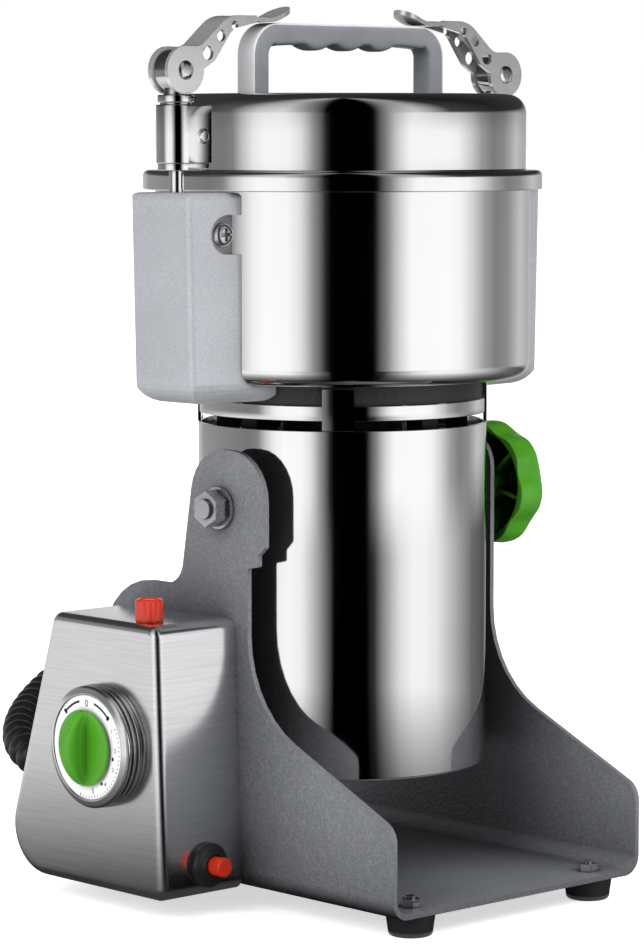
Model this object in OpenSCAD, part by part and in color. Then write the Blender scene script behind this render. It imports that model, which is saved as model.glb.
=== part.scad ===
// Swing-type electric grain mill: a motor with a grinding bowl on top hangs between two cheeks
// and tips forward to pour. Origin on the standing plane, on the motor's axis. +Z is up, -Y is the
// open front, -X is the side with the control box, +X the side with the locking knob.

/* [Base] */
// Height of the rubber feet
foot_h = 9; // [6:0.5:14]
// Diameter of a foot at its top
foot_top_d = 20; // [16:0.5:26]
// Diameter of a foot at its bottom
foot_bottom_d = 17.4; // [12:0.2:20]
// Thickness of the base sheet
sheet_t = 2.2; // [1.5:0.1:3]
// Outer radius of the two bends
bend_r = 8; // [5:0.5:12]
// Distance from the motor's axis to the front edge of the base
base_front = 104; // [96:1:120]
// Distance from the motor's axis to the back edge of the base
base_back = 75; // [72:1:95]
// Gap between the motor and each cheek
cheek_gap = 8.4; // [6:0.2:12]
// Gap under the motor
under_gap = 41.8; // [34:0.2:60]
// Width of the ear that carries the pivot
ear_w = 42; // [34:1:46]
// Height of the ear's top above the pivot
ear_rise = 23.6; // [20:0.2:26]
// Height of the straight front edge, up to its corner
toe_h = 36.3; // [28:0.1:44]
// Radius of the rounded shoulder behind the ear
shoulder_r = 31.5; // [20:0.5:34]

/* [Motor] */
// Outer diameter of the motor tube
motor_d = 120; // [110:1:130]
// Length of the motor tube
motor_len = 142; // [134:1:165]
// Wall of the motor tube
motor_wall = 1.2; // [0.8:0.1:2]
// Diameter of the shaft through the armature
shaft_d = 16; // [12:1:18]
// Armature's diameter as a share of the motor's
armature_share = 0.517; // [0.45:0.001:0.55]
// Length of the armature and of the laminated stator
armature_len = 50; // [40:1:54]
// Air gap round the armature
air_gap = 1; // [0.6:0.1:1.5]

/* [Pivot] */
// Distance from the tube's top down to the pivot
pivot_drop = 31.6; // [28:0.2:36]
// Distance of the pivot ahead of the motor's axis
pivot_ahead = 3; // [0:0.5:5]
// Diameter of the pivot bolt and of the locking stud
pivot_d = 8; // [6:0.5:10]
// Largest diameter of the locking knob
lock_knob_d = 54; // [46:1:60]
// Length of the locking knob along its axis
lock_knob_len = 20; // [18:0.5:28]
// Number of lobes on the locking knob
lock_lobes = 7; // [5:1:9]

/* [Bowl] */
// Gap between the motor tube and the bowl, where the air leaves
neck_h = 18.5; // [16:0.5:24]
// Outer diameter of the grinding bowl
bowl_d = 155.4; // [150:0.2:160]
// Height of the bowl up to its rim
bowl_h = 79; // [70:0.5:90]
// Wall of the bowl
bowl_wall = 1.2; // [0.8:0.1:2]
// Radius of the bowl's bottom edge
bowl_edge_r = 7; // [4:0.5:10]
// Width of the bowl's rim outside its wall
rim_w = 3.2; // [2.6:0.1:4]

/* [Lid] */
// How far the lid's wall stands inside the bowl's
lid_step = 1.8; // [1.4:0.1:3]
// How far the lid's flange stands out from the bowl's wall
flange_out = 5; // [4.6:0.1:6]
// Height of the flange's skirt
flange_h = 8; // [7:0.2:10]
// Height of the dome above the flange
dome_h = 31; // [29.4:0.2:36]
// Radius of the dome's top edge
dome_edge_r = 8; // [4:0.5:12]
// Wall of the lid
lid_wall = 1.2; // [0.8:0.1:2]
// Length of the carrying handle
handle_len = 107; // [98:1:108]
// Height of the carrying handle above the lid
handle_h = 28.2; // [26:0.2:28.4]
// Width of the carrying handle
handle_w = 11; // [9:0.5:14]
// Thickness of the handle's grip bar and legs
handle_t = 8.4; // [7:0.2:10]

/* [Clamps] */
// Place of the clamp's post between the bowl's wall and the casting's outer face, as a share
post_share = 0.5837; // [0.56:0.0001:0.62]
// Diameter of the post
post_d = 6; // [5:0.5:7]
// Height of the pressing block
block_h = 23.2; // [20:0.2:23.2]
// Width of the pressing block
block_w = 16.1; // [14:0.1:17]
// Gap between the block's nose and the lid's wall
nose_gap = 0.5; // [0.3:0.1:0.9]
// Radius of the lever's eye
eye_r = 9.5; // [9.2:0.1:10.5]
// Diameter of the lever's pin
pin_d = 7.5; // [6:0.1:8]
// Width of the lever over both side plates
lever_w = 12; // [10:0.5:14]
// Length of the lever from its pin to its tip
lever_len = 59; // [54:1:64]
// Width of the casting that carries a clamp
bracket_w = 36; // [30:0.5:40]
// How far the casting's outer face stands out from the bowl's wall
bracket_out = 22.1; // [20:0.1:26]
// Wall of the casting
bracket_wall = 3.5; // [2.5:0.1:4]

/* [Control box] */
// Depth of the box from the cheek to its dial face
box_depth = 42.4; // [38:0.2:50]
// Height of the box
box_h = 110.5; // [104:0.5:124]
// Length of the box along its top
box_top_len = 65; // [60:1:75]
// Distance from the motor's axis to the top front edge of the box
box_front = 12; // [8:0.5:18]
// Slope of the back wall from upright
box_back_slope = 17.6; // [10:0.2:20]
// Slope of the front wall from upright
box_front_slope = 2.07; // [0:0.01:4]
// Sheet thickness of the box
box_wall = 1.2; // [0.8:0.1:2]
// Radius of the box's edges round the dial face
box_edge_r = 3.6; // [2:0.2:6]
// Radius of the large lower back corner
box_corner_r = 20; // [12:1:22]

/* [Controls] */
// Diameter of the timer's bezel
bezel_d = 50; // [44:0.5:54]
// Height of the bezel above the box
bezel_h = 8.3; // [5:0.1:9]
// Diameter of the timer knob
timer_knob_d = 31; // [26:0.5:34]
// Height of the timer knob
timer_knob_h = 10; // [8:0.5:12]
// Diameter of the signal lamp
lamp_d = 11.8; // [8:0.2:12]
// Height of the signal lamp
lamp_h = 9.5; // [6:0.5:12]
// Diameter of the reset switch's black body
reset_d = 18; // [14:0.5:20]
// Diameter of the reset button
button_d = 7.8; // [6:0.2:9]
// Travel of the reset button
button_travel = 2.5; // [1.5:0.1:3.5]

/* [Conduit] */
// Outer diameter of the ribbed conduit
conduit_d = 15.2; // [14:0.2:17]
// Depth of its ribs
rib_depth = 1.5; // [0.8:0.1:2]
// Distance from rib to rib
rib_pitch = 6.4; // [5:0.2:9]
// Wall of the conduit
conduit_wall = 1.1; // [0.8:0.1:1.4]

/* [Hidden] */
$fn = 64;

// Overrun of every cut
over = 1;
// Radial clearance of a turning pin or shaft
run_gap = 0.08;
// Gap between faces of pieces that move past each other
face_gap = 0.3;
// Radial clearance of a screw in its thread or hole
screw_gap = 0.06;
// Play between pieces that are pushed together and stay
fit_gap = 0.1;
// Steps of one rounded corner of an outline
corner_steps = 7;

// Heights above the standing plane, from the feet up
plate_z = foot_h;
floor_z = plate_z + sheet_t;
motor_z = floor_z + under_gap;
tube_z = motor_z + motor_len;
pivot_z = tube_z - pivot_drop;
pivot_y = -pivot_ahead;
bowl_z = tube_z + neck_h;
rim_z = bowl_z + bowl_h;
rim_t = 1.5;
seal_t = 3.8;
flange_z = rim_z + rim_t + seal_t + lid_wall;
dome_z = flange_z + dome_h;
motor_r = motor_d / 2;
tube_bore_r = motor_r - motor_wall;
base_half = motor_r + cheek_gap + sheet_t;
inner_half = base_half - sheet_t;

// Feet and their fasteners
foot_in = 19.6;
foot_from_front = 10.5;
foot_from_back = 13;
foot_edge_r = 1.6;
m4_r = 2;
m4_head_r = 3.8;
m4_head_h = 2.4;
m4_nut_flat = 7;
m4_nut_h = 3.2;
screw_end = 1.2;
foot_pocket_r = 4.6;
foot_pocket_h = 4.6;

// Cheek outline, in distances from the pivot and from the base plate
neck_ahead = 16.5;
stop_ahead = 22.8;
stop_low = 22.4;
stop_high = 17.8;
ear_ahead = 27;
ear_low = 14.2;
toe_r = 9;
throat_r = 45;
throat_h = 74.5;
neck_low = 23.4;
neck_slope_share = 0.17;
heel_slope_share = 0.06;
heel_r = 10;
shoulder_drop = 33.4;
notch_r = 1;

// Control box, along the cheek and outwards from it
box_x = base_half + box_depth;
box_top_z = plate_z + box_h;
box_top_r = 5;
box_lug_w = 16;
box_lug_h = 12;
box_lug_t = 3;
box_screw_len = 7;

// Timer and its place on the dial face
timer_back = 33;
timer_drop = 51.2;
timer_body_r = 19.6;
timer_body_len = 26;
bezel_w = 5.2;
bezel_lip = 1.2;
bezel_edge = 1.2;
dial_t = 0.8;
dial_sink = 0.2;
timer_shaft_r = 2;
knob_lift = 0.6;
knob_skirt_h = 1.5;
knob_taper = 0.6;
knob_top_share = 0.68;
knob_dome_share = 0.98;
grip_half = 3;
grip_root_r = 1.2;
grip_draft = 0.6;

// Signal lamp and reset switch
lamp_in = 9;
lamp_back = 14;
lamp_body_r = 4;
lamp_body_len = 15;
lamp_taper = 0.5;
lamp_top_r = 1;
reset_in = 18.4;
reset_up = 12.5;
reset_h = 5;
reset_body_r = 7.5;
reset_body_len = 22;
reset_rim = 1.4;
button_out = 6;
button_in = 9;
button_edge = 0.8;

// Conduit glands
gland_flange_r = 9.8;
gland_flange_h = 4;
gland_collar_r = 8.4;
gland_collar_h = 5;
gland_bore_r = 5;
gland_stub_r = 6.5;
gland_stub_len = 3.5;
gland_nut_r = 7.8;
gland_nut_h = 3;
conduit_in = 14.4;
conduit_up = 33.5;
mains_in = 20;
mains_up = 72;
motor_gland_up = 62;
motor_gland_turn = 12.5;

// Motor inside
cap_t = 2;
cap_rim = 8;
cap_sink = 2.5;
cap_slots = 16;
frame_t = 5;
lower_frame_up = 10;
bearing_small_r = 16;
bearing_small_h = 10;
bearing_small_bore = 6;
bearing_large_share = 0.3334;
bearing_large_h = 12;
bearing_large_bore = 8.5;
bearing_cup = 3.5;
race_w = 3.2;
race_groove = 0.6;
stator_up = 47.5;
stator_clear = 1.5;
coil_h = 9;
coil_in = 3;
coil_share = 0.7143;
slot_angle = 60;
commutator_r = 15;
commutator_h = 14;
brush_w = 8;
brush_len = 20;
brush_h = 10;
fan_share = 0.8334;
fan_t = 1.5;
fan_blades = 9;
fan_blade_h = 9;
fan_hub_r = 14;
fan_over = 4;
top_frame_down = 9;
hub_wall = 5;
pillars = 8;
pillar_w = 9;
pillar_deep = 9;
window_in_share = 0.5;
window_out_share = 0.867;
top_flange_drop = 8.5;

// Neck ring between motor and bowl
ring_low = 4;
ring_h = 6;
ring_t = 0.8;
strap_w = 12.6;
strap_top = 17;
strap_proud = 0.5;
straps = 4;

// Blades and shaft above the bowl's floor
seal_r = 14;
seal_h = 6;
spigot_r = 5;
spigot_base = 9;
blade_t = 3;
blade_gap = 9;
blade_share = 0.4247;
upper_blade_share = 0.9;
blade_root_w = 26;
blade_tip_w = 12;
blade_bend = 8;
blade_wing = 22;
nut_flat = 17;
nut_h = 8;
spigot_end = 3;

// Clamp castings
bracket_low = 7;
bracket_top_gap = 0.4;
bracket_edge_r = 3;
bracket_low_r = 10.5;
bracket_flare = 3.2;
bracket_draft = 2;
seat_gap = 0.15;
cavity_top = 29;
nut_pocket_top = 25.6;
nut_pocket_r = 6.2;
lug_reach = 7.6;
lug_half = 12;
lug_h = 16;
lug_drop = 18.5;
pocket_r = 7.8;
seat_in = 1.2;
m5_r = 2.5;
m5_head_r = 4.75;
m5_head_h = 3.2;
m5_len = 14;

// Clamp post, block and lever
post_low = 32.6;
post_nut_flat = 10;
post_nut_h = 5;
pad_t = 2.8;
pad_in = 1.1;
collar_r = 7.4;
collar_h = 3.9;
drum_r = 8.2;
plate_t = 1.8;
side_gap = 0.2;
pin_proud = 0.3;
grub_r = 3.1;
grub_proud = 0.4;
grub_in = 7.2;
grub_drop = 12.4;
lever_holes = [[11.7, 6.9, 2.8], [18.7, 13.9, 2.3], [26, 18.1, 1.8]];
// Outline points as shares of the eye's radius and of the lever's length
arm_base_share = 0.12;
arm_valley_share = 0.13;
arm_crest_share = 0.39;
arm_end_share = 0.64;
arm_low_share = 0.42;
arm_notch_share = 0.26;
arm_rise = 22.2;
arm_thick = 2.8;
arm_crest_r = 15;
arm_valley_r = 7;
tip_rise = 26.4;
tip_bend_share = 0.8;

// Pivot and lock
pivot_head_r = 7.5;
pivot_head_h = 5.3;
pivot_nut_h = 6.4;
pivot_end = 1.2;
spacer_r = 9;
washer_r = 8.6;
washer_t = 1.6;
boss_r = 11;
boss_in = 7;
stud_in = 6;
knob_wall = 1.6;
knob_hub_r = 9;
knob_plate = 4;
knob_draft = 0.6;
knob_set = 5.4;
lobe_r = 9;
lobe_cut = 2;
rib_t = 2;

// Handle
handle_r = 10;
handle_inner_r = 7;
finger_pitch = 18;
finger_r = 11;
finger_drop = 2.2;
fingers = 3;
armature_d = motor_d * armature_share;
window_in = motor_r * window_in_share;
window_out = motor_r * window_out_share;
fan_r = motor_r * fan_share;
bearing_large_r = motor_r * bearing_large_share;
bowl_r = bowl_d / 2;
blade_half = bowl_d * blade_share;
lid_d = bowl_d - 2 * lid_step;
flange_d = bowl_d + 2 * flange_out;
bracket_reach = bowl_r + bracket_out;
post_out = bracket_out * post_share;
post_reach = bowl_r + post_out;
nose_reach = post_out + lid_step - nose_gap;
handle_screw_len = 12;

// One corner of an outline, rounded by its own radius
function unit(v) = v / norm(v);
function corner(a, b, c, r) = r <= 0 ? [b] : let (
    u = unit(a - b),
    w = unit(c - b),
    half = acos(u * w) / 2,
    centre = b + unit(u + w) * r / sin(half),
    p = b + u * r / tan(half) - centre,
    q = b + w * r / tan(half) - centre,
    start = atan2(p.y, p.x),
    turn = atan2(q.y, q.x) - start,
    sweep = turn > 180 ? turn - 360 : turn < -180 ? turn + 360 : turn
) [for (i = [0:corner_steps]) centre + r * [cos(start + sweep * i / corner_steps),
                                            sin(start + sweep * i / corner_steps)]];
function flat(v) = [v.x, v.y];
// A closed outline from [x, y, radius] corners
function rounded(c) = [for (i = [0:len(c) - 1])
    each corner(flat(c[(i + len(c) - 1) % len(c)]), flat(c[i]), flat(c[(i + 1) % len(c)]), c[i].z)];
// The corners of an outline moved inwards by a distance, each with its radius
function drawn_in(c, d) = [for (i = [0:len(c) - 1]) let (
    u = unit(flat(c[(i + len(c) - 1) % len(c)]) - flat(c[i])),
    w = unit(flat(c[(i + 1) % len(c)]) - flat(c[i])),
    p = flat(c[i]) + unit(u + w) * d / sin(acos(u * w) / 2)
) [p.x, p.y, max(c[i].z - d, 0)]];
// An open path from [x, y, radius] corners
function rounded_path(c) = concat([flat(c[0])],
    [for (i = [1:len(c) - 2]) each corner(flat(c[i - 1]), flat(c[i]), flat(c[i + 1]), c[i].z)],
    [flat(c[len(c) - 1])]);
// A path moved sideways by a distance, to the right of its run
function beside(p, d) = [for (i = [0:len(p) - 1]) let (
    run = unit(p[min(i + 1, len(p) - 1)] - p[max(i - 1, 0)])
) p[i] + d * [run.y, -run.x]];
function reversed(p) = [for (i = [len(p) - 1:-1:0]) p[i]];
// A strip of one thickness under a path
function strip(p, t) = concat(p, reversed(beside(p, t)));

// Stands what is drawn flat in X and Y upright along the base, drawn from -X to +X
module across(x0, x1) {
    translate([x0, 0, 0]) rotate([90, 0, 90]) linear_extrude(x1 - x0) children();
}

// Turns a shape that is drawn along +Z so that it runs along +X from a point
module along_x(p) {
    translate(p) rotate([0, 90, 0]) children();
}

// A hexagon prism of a given width over its flats
module hexagon(flat_w, h) {
    cylinder(h = h, r = flat_w / 2 / cos(30), $fn = 6);
}

// A pan head with a rounded rim, its flat side at zero, rising along +Z
module pan_head(r, h) {
    rotate_extrude() polygon(rounded([[0, 0, 0], [r, 0, 0], [r, h, h * 0.6], [0, h, 0]]));
}

// A screw that points along +Z, with its head below zero
module screw(r, len, head_r, head_h) {
    cylinder(h = len, r = r);
    mirror([0, 0, 1]) pan_head(head_r, head_h);
}

// A ring from one radius to another
module ring(inner, outer, h) {
    difference() {
        cylinder(h = h, r = outer);
        translate([0, 0, -over]) cylinder(h = h + 2 * over, r = inner);
    }
}

// Copies children about the Z axis
module around(count, start = 0) {
    for (i = [0:count - 1]) rotate([0, 0, start + i * 360 / count]) children();
}

// Base

ear_back = pivot_y - ear_ahead + ear_w;
neck_front = pivot_y - neck_ahead;
// The front of the left ear, which steps forward over the notch of the motor's stop
stop_corners = [
    [neck_front, pivot_z - neck_low, notch_r],
    [pivot_y - stop_ahead, pivot_z - stop_low, notch_r],
    [pivot_y - stop_ahead, pivot_z - stop_high, notch_r],
    [pivot_y - ear_ahead, pivot_z - ear_low, notch_r],
    [pivot_y - ear_ahead, pivot_z + ear_rise, ear_w / 2 - notch_r],
    [ear_back, pivot_z + ear_rise, ear_w / 2 - notch_r]
];
// The front of the right ear, which is plain
plain_corners = [
    [neck_front, pivot_z + ear_rise, (ear_back - neck_front) / 2 - notch_r],
    [ear_back, pivot_z + ear_rise, (ear_back - neck_front) / 2 - notch_r]
];

// A cheek's outline, seen from the side: along the base and up, with the given corners of its ear
module cheek_outline(ear) {
    heel_x = base_back - base_back * heel_slope_share;
    polygon(rounded(concat([
        [-base_front, plate_z, 0],
        [-base_front, plate_z + toe_h, toe_r],
        [neck_front, plate_z + throat_h, throat_r]
    ], ear, [
        [ear_back + (ear_rise + shoulder_drop) * neck_slope_share, pivot_z - shoulder_drop, heel_r],
        [heel_x, pivot_z - shoulder_drop, shoulder_r],
        [base_back, plate_z, 0]
    ])));
}

// The folded sheet's section, seen from the front
module u_section(half, r, low) {
    top = pivot_z + ear_rise + over;
    translate([-half, low + r]) square([2 * half, top - low - r]);
    translate([-half + r, low]) square([2 * (half - r), r + over]);
    for (s = [-1, 1]) translate([s * (half - r), low + r]) circle(r);
}

function foot_places() = [for (s = [-1, 1]) for (y = [-base_front + foot_from_front,
    base_back - foot_from_back]) [s * (base_half - foot_in), y, 0]];

// Places of the screws that hold the box to the cheek: along the base and up
function box_screw_places() = [
    [-box_front + box_lug_w, box_top_z - box_wall - box_lug_h],
    [-box_front + box_top_len - box_lug_w, box_top_z - box_wall - box_lug_h],
    [-box_front + box_lug_w, plate_z + box_wall + box_lug_h],
    [-box_front + box_top_len - box_lug_w, plate_z + box_wall + box_lug_h]
];

module base_bracket() {
    color("dimgray") difference() {
        intersection() {
            translate([0, base_back, 0]) rotate([90, 0, 0]) linear_extrude(base_front + base_back)
                difference() {
                    u_section(base_half, bend_r, plate_z);
                    translate([0, over]) u_section(inner_half, bend_r - sheet_t, floor_z - over);
                }
            union() {
                across(-base_half, 0) cheek_outline(stop_corners);
                across(-over, base_half) cheek_outline(plain_corners);
            }
        }
        for (s = [-1, 1]) along_x([s * base_half - sheet_t - over, pivot_y, pivot_z])
            cylinder(h = 2 * (sheet_t + over), r = pivot_d / 2 + run_gap);
        for (p = foot_places()) translate([p.x, p.y, plate_z - over])
            cylinder(h = sheet_t + 2 * over, r = m4_r + screw_gap);
        for (p = box_screw_places()) along_x([-base_half - over, p.x, p.y])
            cylinder(h = sheet_t + 2 * over, r = m4_r + screw_gap);
    }
}

module foot() {
    difference() {
        rotate_extrude() polygon(rounded([
            [0, 0, 0], [foot_bottom_d / 2, 0, foot_edge_r],
            [foot_top_d / 2, foot_h, 0], [0, foot_h, 0]
        ]));
        translate([0, 0, -over]) cylinder(h = foot_pocket_h + over, r = foot_pocket_r);
        cylinder(h = foot_h + over, r = m4_r + screw_gap);
    }
}

module rubber_feet() {
    color("black") for (p = foot_places()) translate(p) foot();
}

module foot_screws() {
    color("silver") for (p = foot_places()) translate([p.x, p.y, foot_pocket_h])
        screw(m4_r, floor_z + m4_nut_h + screw_end - foot_pocket_h, m4_head_r, m4_head_h);
}

module foot_nuts() {
    color("silver") for (p = foot_places()) translate([p.x, p.y, floor_z]) difference() {
        hexagon(m4_nut_flat, m4_nut_h);
        translate([0, 0, -over]) cylinder(h = m4_nut_h + 2 * over, r = m4_r + screw_gap);
    }
}

// Control box

// Corners of the box seen from the dial: along the base, up, and the corner's radius
bottom_front = box_front + box_h * tan(box_front_slope);
bottom_back = box_top_len - box_front + box_h * tan(box_back_slope);
box_corners = [
    [-box_front, box_top_z, box_top_r],
    [box_top_len - box_front, box_top_z, box_top_r],
    [bottom_back, plate_z, box_corner_r],
    [-bottom_front, plate_z, box_top_r]
];

// The box's solid form, drawn in by an inset on every side, with edges rounded round the dial face
module box_form(inset) {
    near = -base_half + over;
    far = -box_x + inset;
    r = box_edge_r - inset;
    span = box_h + base_back;
    intersection() {
        across(far, near) polygon(rounded(drawn_in(box_corners, inset)));
        translate([0, span, 0]) rotate([90, 0, 0]) linear_extrude(2 * span) polygon(rounded([
            [far, plate_z + inset, r], [near, plate_z + inset, 0],
            [near, box_top_z - inset, 0], [far, box_top_z - inset, r]
        ]));
        translate([0, -bottom_front, plate_z]) rotate([-box_front_slope, 0, 0])
            translate([0, 0, -span]) linear_extrude(2 * span) polygon(rounded([
                [far, inset, r], [near, inset, 0], [near, span, 0], [far, span, 0]
            ]));
        translate([0, bottom_back, plate_z]) rotate([box_back_slope, 0, 0])
            translate([0, 0, -span]) linear_extrude(2 * span) polygon(rounded([
                [far, -span, 0], [near, -span, 0], [near, -inset, 0], [far, -inset, r]
            ]));
    }
}

// A place on the back wall, at a height above the base plate, with +Z out of the wall
module on_box_back(inward, up) {
    y = box_top_len - box_front + (box_h - up) * tan(box_back_slope);
    translate([-base_half - inward, y, plate_z + up]) rotate([-90 + box_back_slope, 0, 0]) children();
}

// The reset switch's place on the front wall, with +Z out of the wall
module on_box_front() {
    y = -box_front - (box_h - reset_up) * tan(box_front_slope);
    translate([-base_half - reset_in, y, plate_z + reset_up]) rotate([90 - box_front_slope, 0, 0])
        children();
}

// The dial's place, with +Z out of the dial face
module on_dial() {
    translate([-box_x, timer_back - box_front, box_top_z - timer_drop]) rotate([0, -90, 0]) children();
}

// The lamp's place on the top of the box
module on_box_top() {
    translate([-box_x + lamp_in, lamp_back - box_front, box_top_z]) children();
}

module control_box() {
    color("silver") difference() {
        union() {
            difference() {
                box_form(0);
                box_form(box_wall);
            }
            for (p = box_screw_places()) {
                top = p.y > plate_z + box_h / 2;
                edge = top ? box_top_z - box_wall / 2 : plate_z + box_wall / 2;
                translate([-base_half - box_lug_t, p.x - box_lug_w / 2, min(edge, p.y - box_lug_h / 2)])
                    cube([box_lug_t, box_lug_w, abs(edge - p.y) + box_lug_h / 2]);
            }
        }
        translate([-base_half, -base_front, 0]) cube([base_half, base_front + base_back * 2, tube_z]);
        for (p = box_screw_places()) along_x([-base_half - box_lug_t - over, p.x, p.y])
            cylinder(h = box_lug_t + 2 * over, r = m4_r + screw_gap);
        on_dial() translate([0, 0, -box_wall - over])
            cylinder(h = box_wall + 2 * over, r = timer_body_r - bezel_edge + fit_gap);
        on_box_top() translate([0, 0, -box_wall - over])
            cylinder(h = box_wall + 2 * over, r = lamp_body_r + fit_gap);
        on_box_front() translate([0, 0, -box_wall - 2 * over])
            cylinder(h = box_wall + 4 * over, r = reset_body_r + fit_gap);
        on_box_back(conduit_in, conduit_up) translate([0, 0, -box_wall - over])
            cylinder(h = box_wall + 2 * over, r = gland_stub_r + fit_gap);
        on_box_back(mains_in, mains_up) translate([0, 0, -box_wall - over])
            cylinder(h = box_wall + 2 * over, r = gland_stub_r + fit_gap);
    }
}

module box_screws() {
    color("silver") for (p = box_screw_places()) along_x([-inner_half, p.x, p.y])
        mirror([0, 0, 1]) screw(m4_r, box_screw_len, m4_head_r, m4_head_h);
}

module timer_body() {
    color("dimgray") on_dial() difference() {
        union() {
            translate([0, 0, -box_wall - timer_body_len - fit_gap])
                cylinder(h = timer_body_len, r = timer_body_r);
            translate([0, 0, -box_wall - 2 * fit_gap])
                cylinder(h = box_wall + bezel_h - dial_sink - dial_t, r = timer_body_r - bezel_edge);
        }
        translate([0, 0, -timer_body_len - over])
            cylinder(h = timer_body_len + bezel_h + over, r = timer_shaft_r + run_gap);
    }
}

module timer_bezel() {
    outer = bezel_d / 2;
    color("silver") on_dial() rotate_extrude() polygon(rounded([
        [timer_body_r - bezel_edge + fit_gap, 0, 0],
        [outer, 0, 0],
        [outer, bezel_h, bezel_edge],
        [outer - bezel_w + bezel_lip, bezel_h, bezel_edge / 2],
        [outer - bezel_w + bezel_lip, bezel_h - dial_sink - dial_t, 0],
        [timer_body_r - bezel_edge + fit_gap, bezel_h - dial_sink - dial_t, 0]
    ]));
}

module dial_plate() {
    color("white") on_dial() translate([0, 0, bezel_h - dial_sink - dial_t])
        ring(timer_shaft_r + 2 * fit_gap, bezel_d / 2 - bezel_w + bezel_lip - fit_gap, dial_t);
}

module timer_shaft() {
    color("silver") on_dial() translate([0, 0, -timer_body_len + over])
        cylinder(h = timer_body_len - over + bezel_h + timer_knob_h / 2 - fit_gap, r = timer_shaft_r);
}

// A domed knob cut down on both sides of an upright grip, which keeps the dome's outline
module timer_knob() {
    r = timer_knob_d / 2;
    base = bezel_h - dial_sink + knob_lift;
    color("limegreen") on_dial() translate([0, 0, base]) difference() {
        rotate_extrude() polygon(rounded([
            [0, 0, 0], [r - knob_taper, 0, 0], [r, knob_skirt_h, knob_taper],
            [r * knob_top_share, timer_knob_h, r * knob_dome_share], [0, timer_knob_h, 0]
        ]));
        for (turn = [0, 180]) rotate([0, 0, turn]) across(-r - over, r + over)
            polygon(rounded([
                [grip_half, knob_skirt_h, grip_root_r], [r + over, knob_skirt_h, 0],
                [r + over, timer_knob_h + over, 0], [grip_half - grip_draft, timer_knob_h + over, 0]
            ]));
        translate([0, 0, -over])
            cylinder(h = over + timer_knob_h / 2 - base + bezel_h, r = timer_shaft_r + screw_gap);
    }
}

module pilot_lamp() {
    r = lamp_d / 2;
    color("orangered") on_box_top() {
        rotate_extrude() polygon(rounded([
            [0, 0, 0], [r - lamp_taper, 0, 0], [r, lamp_h, lamp_top_r], [0, lamp_h, 0]
        ]));
        translate([0, 0, -lamp_body_len]) cylinder(h = lamp_body_len + fit_gap, r = lamp_body_r);
    }
}

module reset_switch() {
    color("black") on_box_front() difference() {
        union() {
            rotate_extrude() polygon(rounded([
                [0, 0, 0], [reset_d / 2, 0, 0], [reset_d / 2, reset_h, reset_rim], [0, reset_h, 0]
            ]));
            translate([0, 0, -reset_body_len]) cylinder(h = reset_body_len + over, r = reset_body_r);
        }
        translate([0, 0, -button_in - button_travel - face_gap])
            cylinder(h = button_in + button_travel + reset_h + over, r = button_d / 2 + run_gap);
    }
}

module reset_button() {
    color("red") on_box_front() translate([0, 0, -button_in]) rotate_extrude() polygon(rounded([
        [0, 0, 0], [button_d / 2, 0, 0],
        [button_d / 2, button_in + reset_h + button_out, button_edge],
        [0, button_in + reset_h + button_out, 0]
    ]));
}

// A cable gland: flange and collar outside the wall, stub and nut inside it
module gland(wall) {
    difference() {
        union() {
            hexagon(2 * gland_flange_r * cos(30), gland_flange_h);
            cylinder(h = gland_flange_h + gland_collar_h, r = gland_collar_r);
            translate([0, 0, -wall - gland_stub_len]) cylinder(h = wall + gland_stub_len + over,
                r = gland_stub_r);
            translate([0, 0, -wall - gland_nut_h - fit_gap]) hexagon(2 * gland_nut_r * cos(30), gland_nut_h);
        }
        translate([0, 0, -wall - gland_stub_len - over])
            cylinder(h = wall + gland_stub_len + gland_flange_h + gland_collar_h + 2 * over,
                r = gland_bore_r);
    }
}

module box_glands() {
    color("black") {
        on_box_back(conduit_in, conduit_up) gland(box_wall);
        on_box_back(mains_in, mains_up) gland(box_wall);
    }
}

// The motor gland's flat foot stands clear of the curved tube
gland_lift = 1;

module motor_gland() {
    color("black") rotate([0, 0, -motor_gland_turn])
        translate([0, motor_r + gland_lift, motor_z + motor_gland_up]) rotate([-90, 0, 0]) difference() {
            union() {
                gland(motor_wall + gland_lift);
                translate([0, 0, -gland_lift]) cylinder(h = gland_lift + over, r = gland_collar_r);
            }
            translate([0, 0, -motor_wall - gland_stub_len - over])
                cylinder(h = motor_wall + gland_stub_len + gland_flange_h, r = gland_bore_r);
            translate([0, 0, -motor_r - gland_lift]) rotate([90, 0, 0])
                translate([0, 0, -gland_flange_r - over]) difference() {
                    cylinder(h = 2 * (gland_flange_r + over), r = motor_r);
                    translate([0, 0, -over]) cylinder(h = 2 * (gland_flange_r + 2 * over), r = tube_bore_r);
                    translate([0, motor_r, gland_flange_r + over]) rotate([90, 0, 0])
                        cylinder(h = 2 * motor_wall + over, r = gland_stub_r, center = true);
                }
        }
}

// Conduit

gland_out = gland_flange_h + gland_collar_h;
conduit_run = conduit_d;
back_y = box_top_len - box_front + (box_h - conduit_up) * tan(box_back_slope);
start_dir = [0, cos(box_back_slope), sin(box_back_slope)];
end_dir = [sin(motor_gland_turn), cos(motor_gland_turn), 0];
start_at = [-base_half - conduit_in, back_y, plate_z + conduit_up] + start_dir * (gland_out + face_gap);
end_at = [0, 0, motor_z + motor_gland_up] + end_dir * (motor_r + gland_lift + gland_out + face_gap);
// How far the loop swings out behind the box and behind the motor, in turns of the conduit's size
start_swing_share = 2.95;
end_swing_share = 7.65;
// How far the loop's own weight pulls it down behind the motor
loop_sag = 30;
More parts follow.
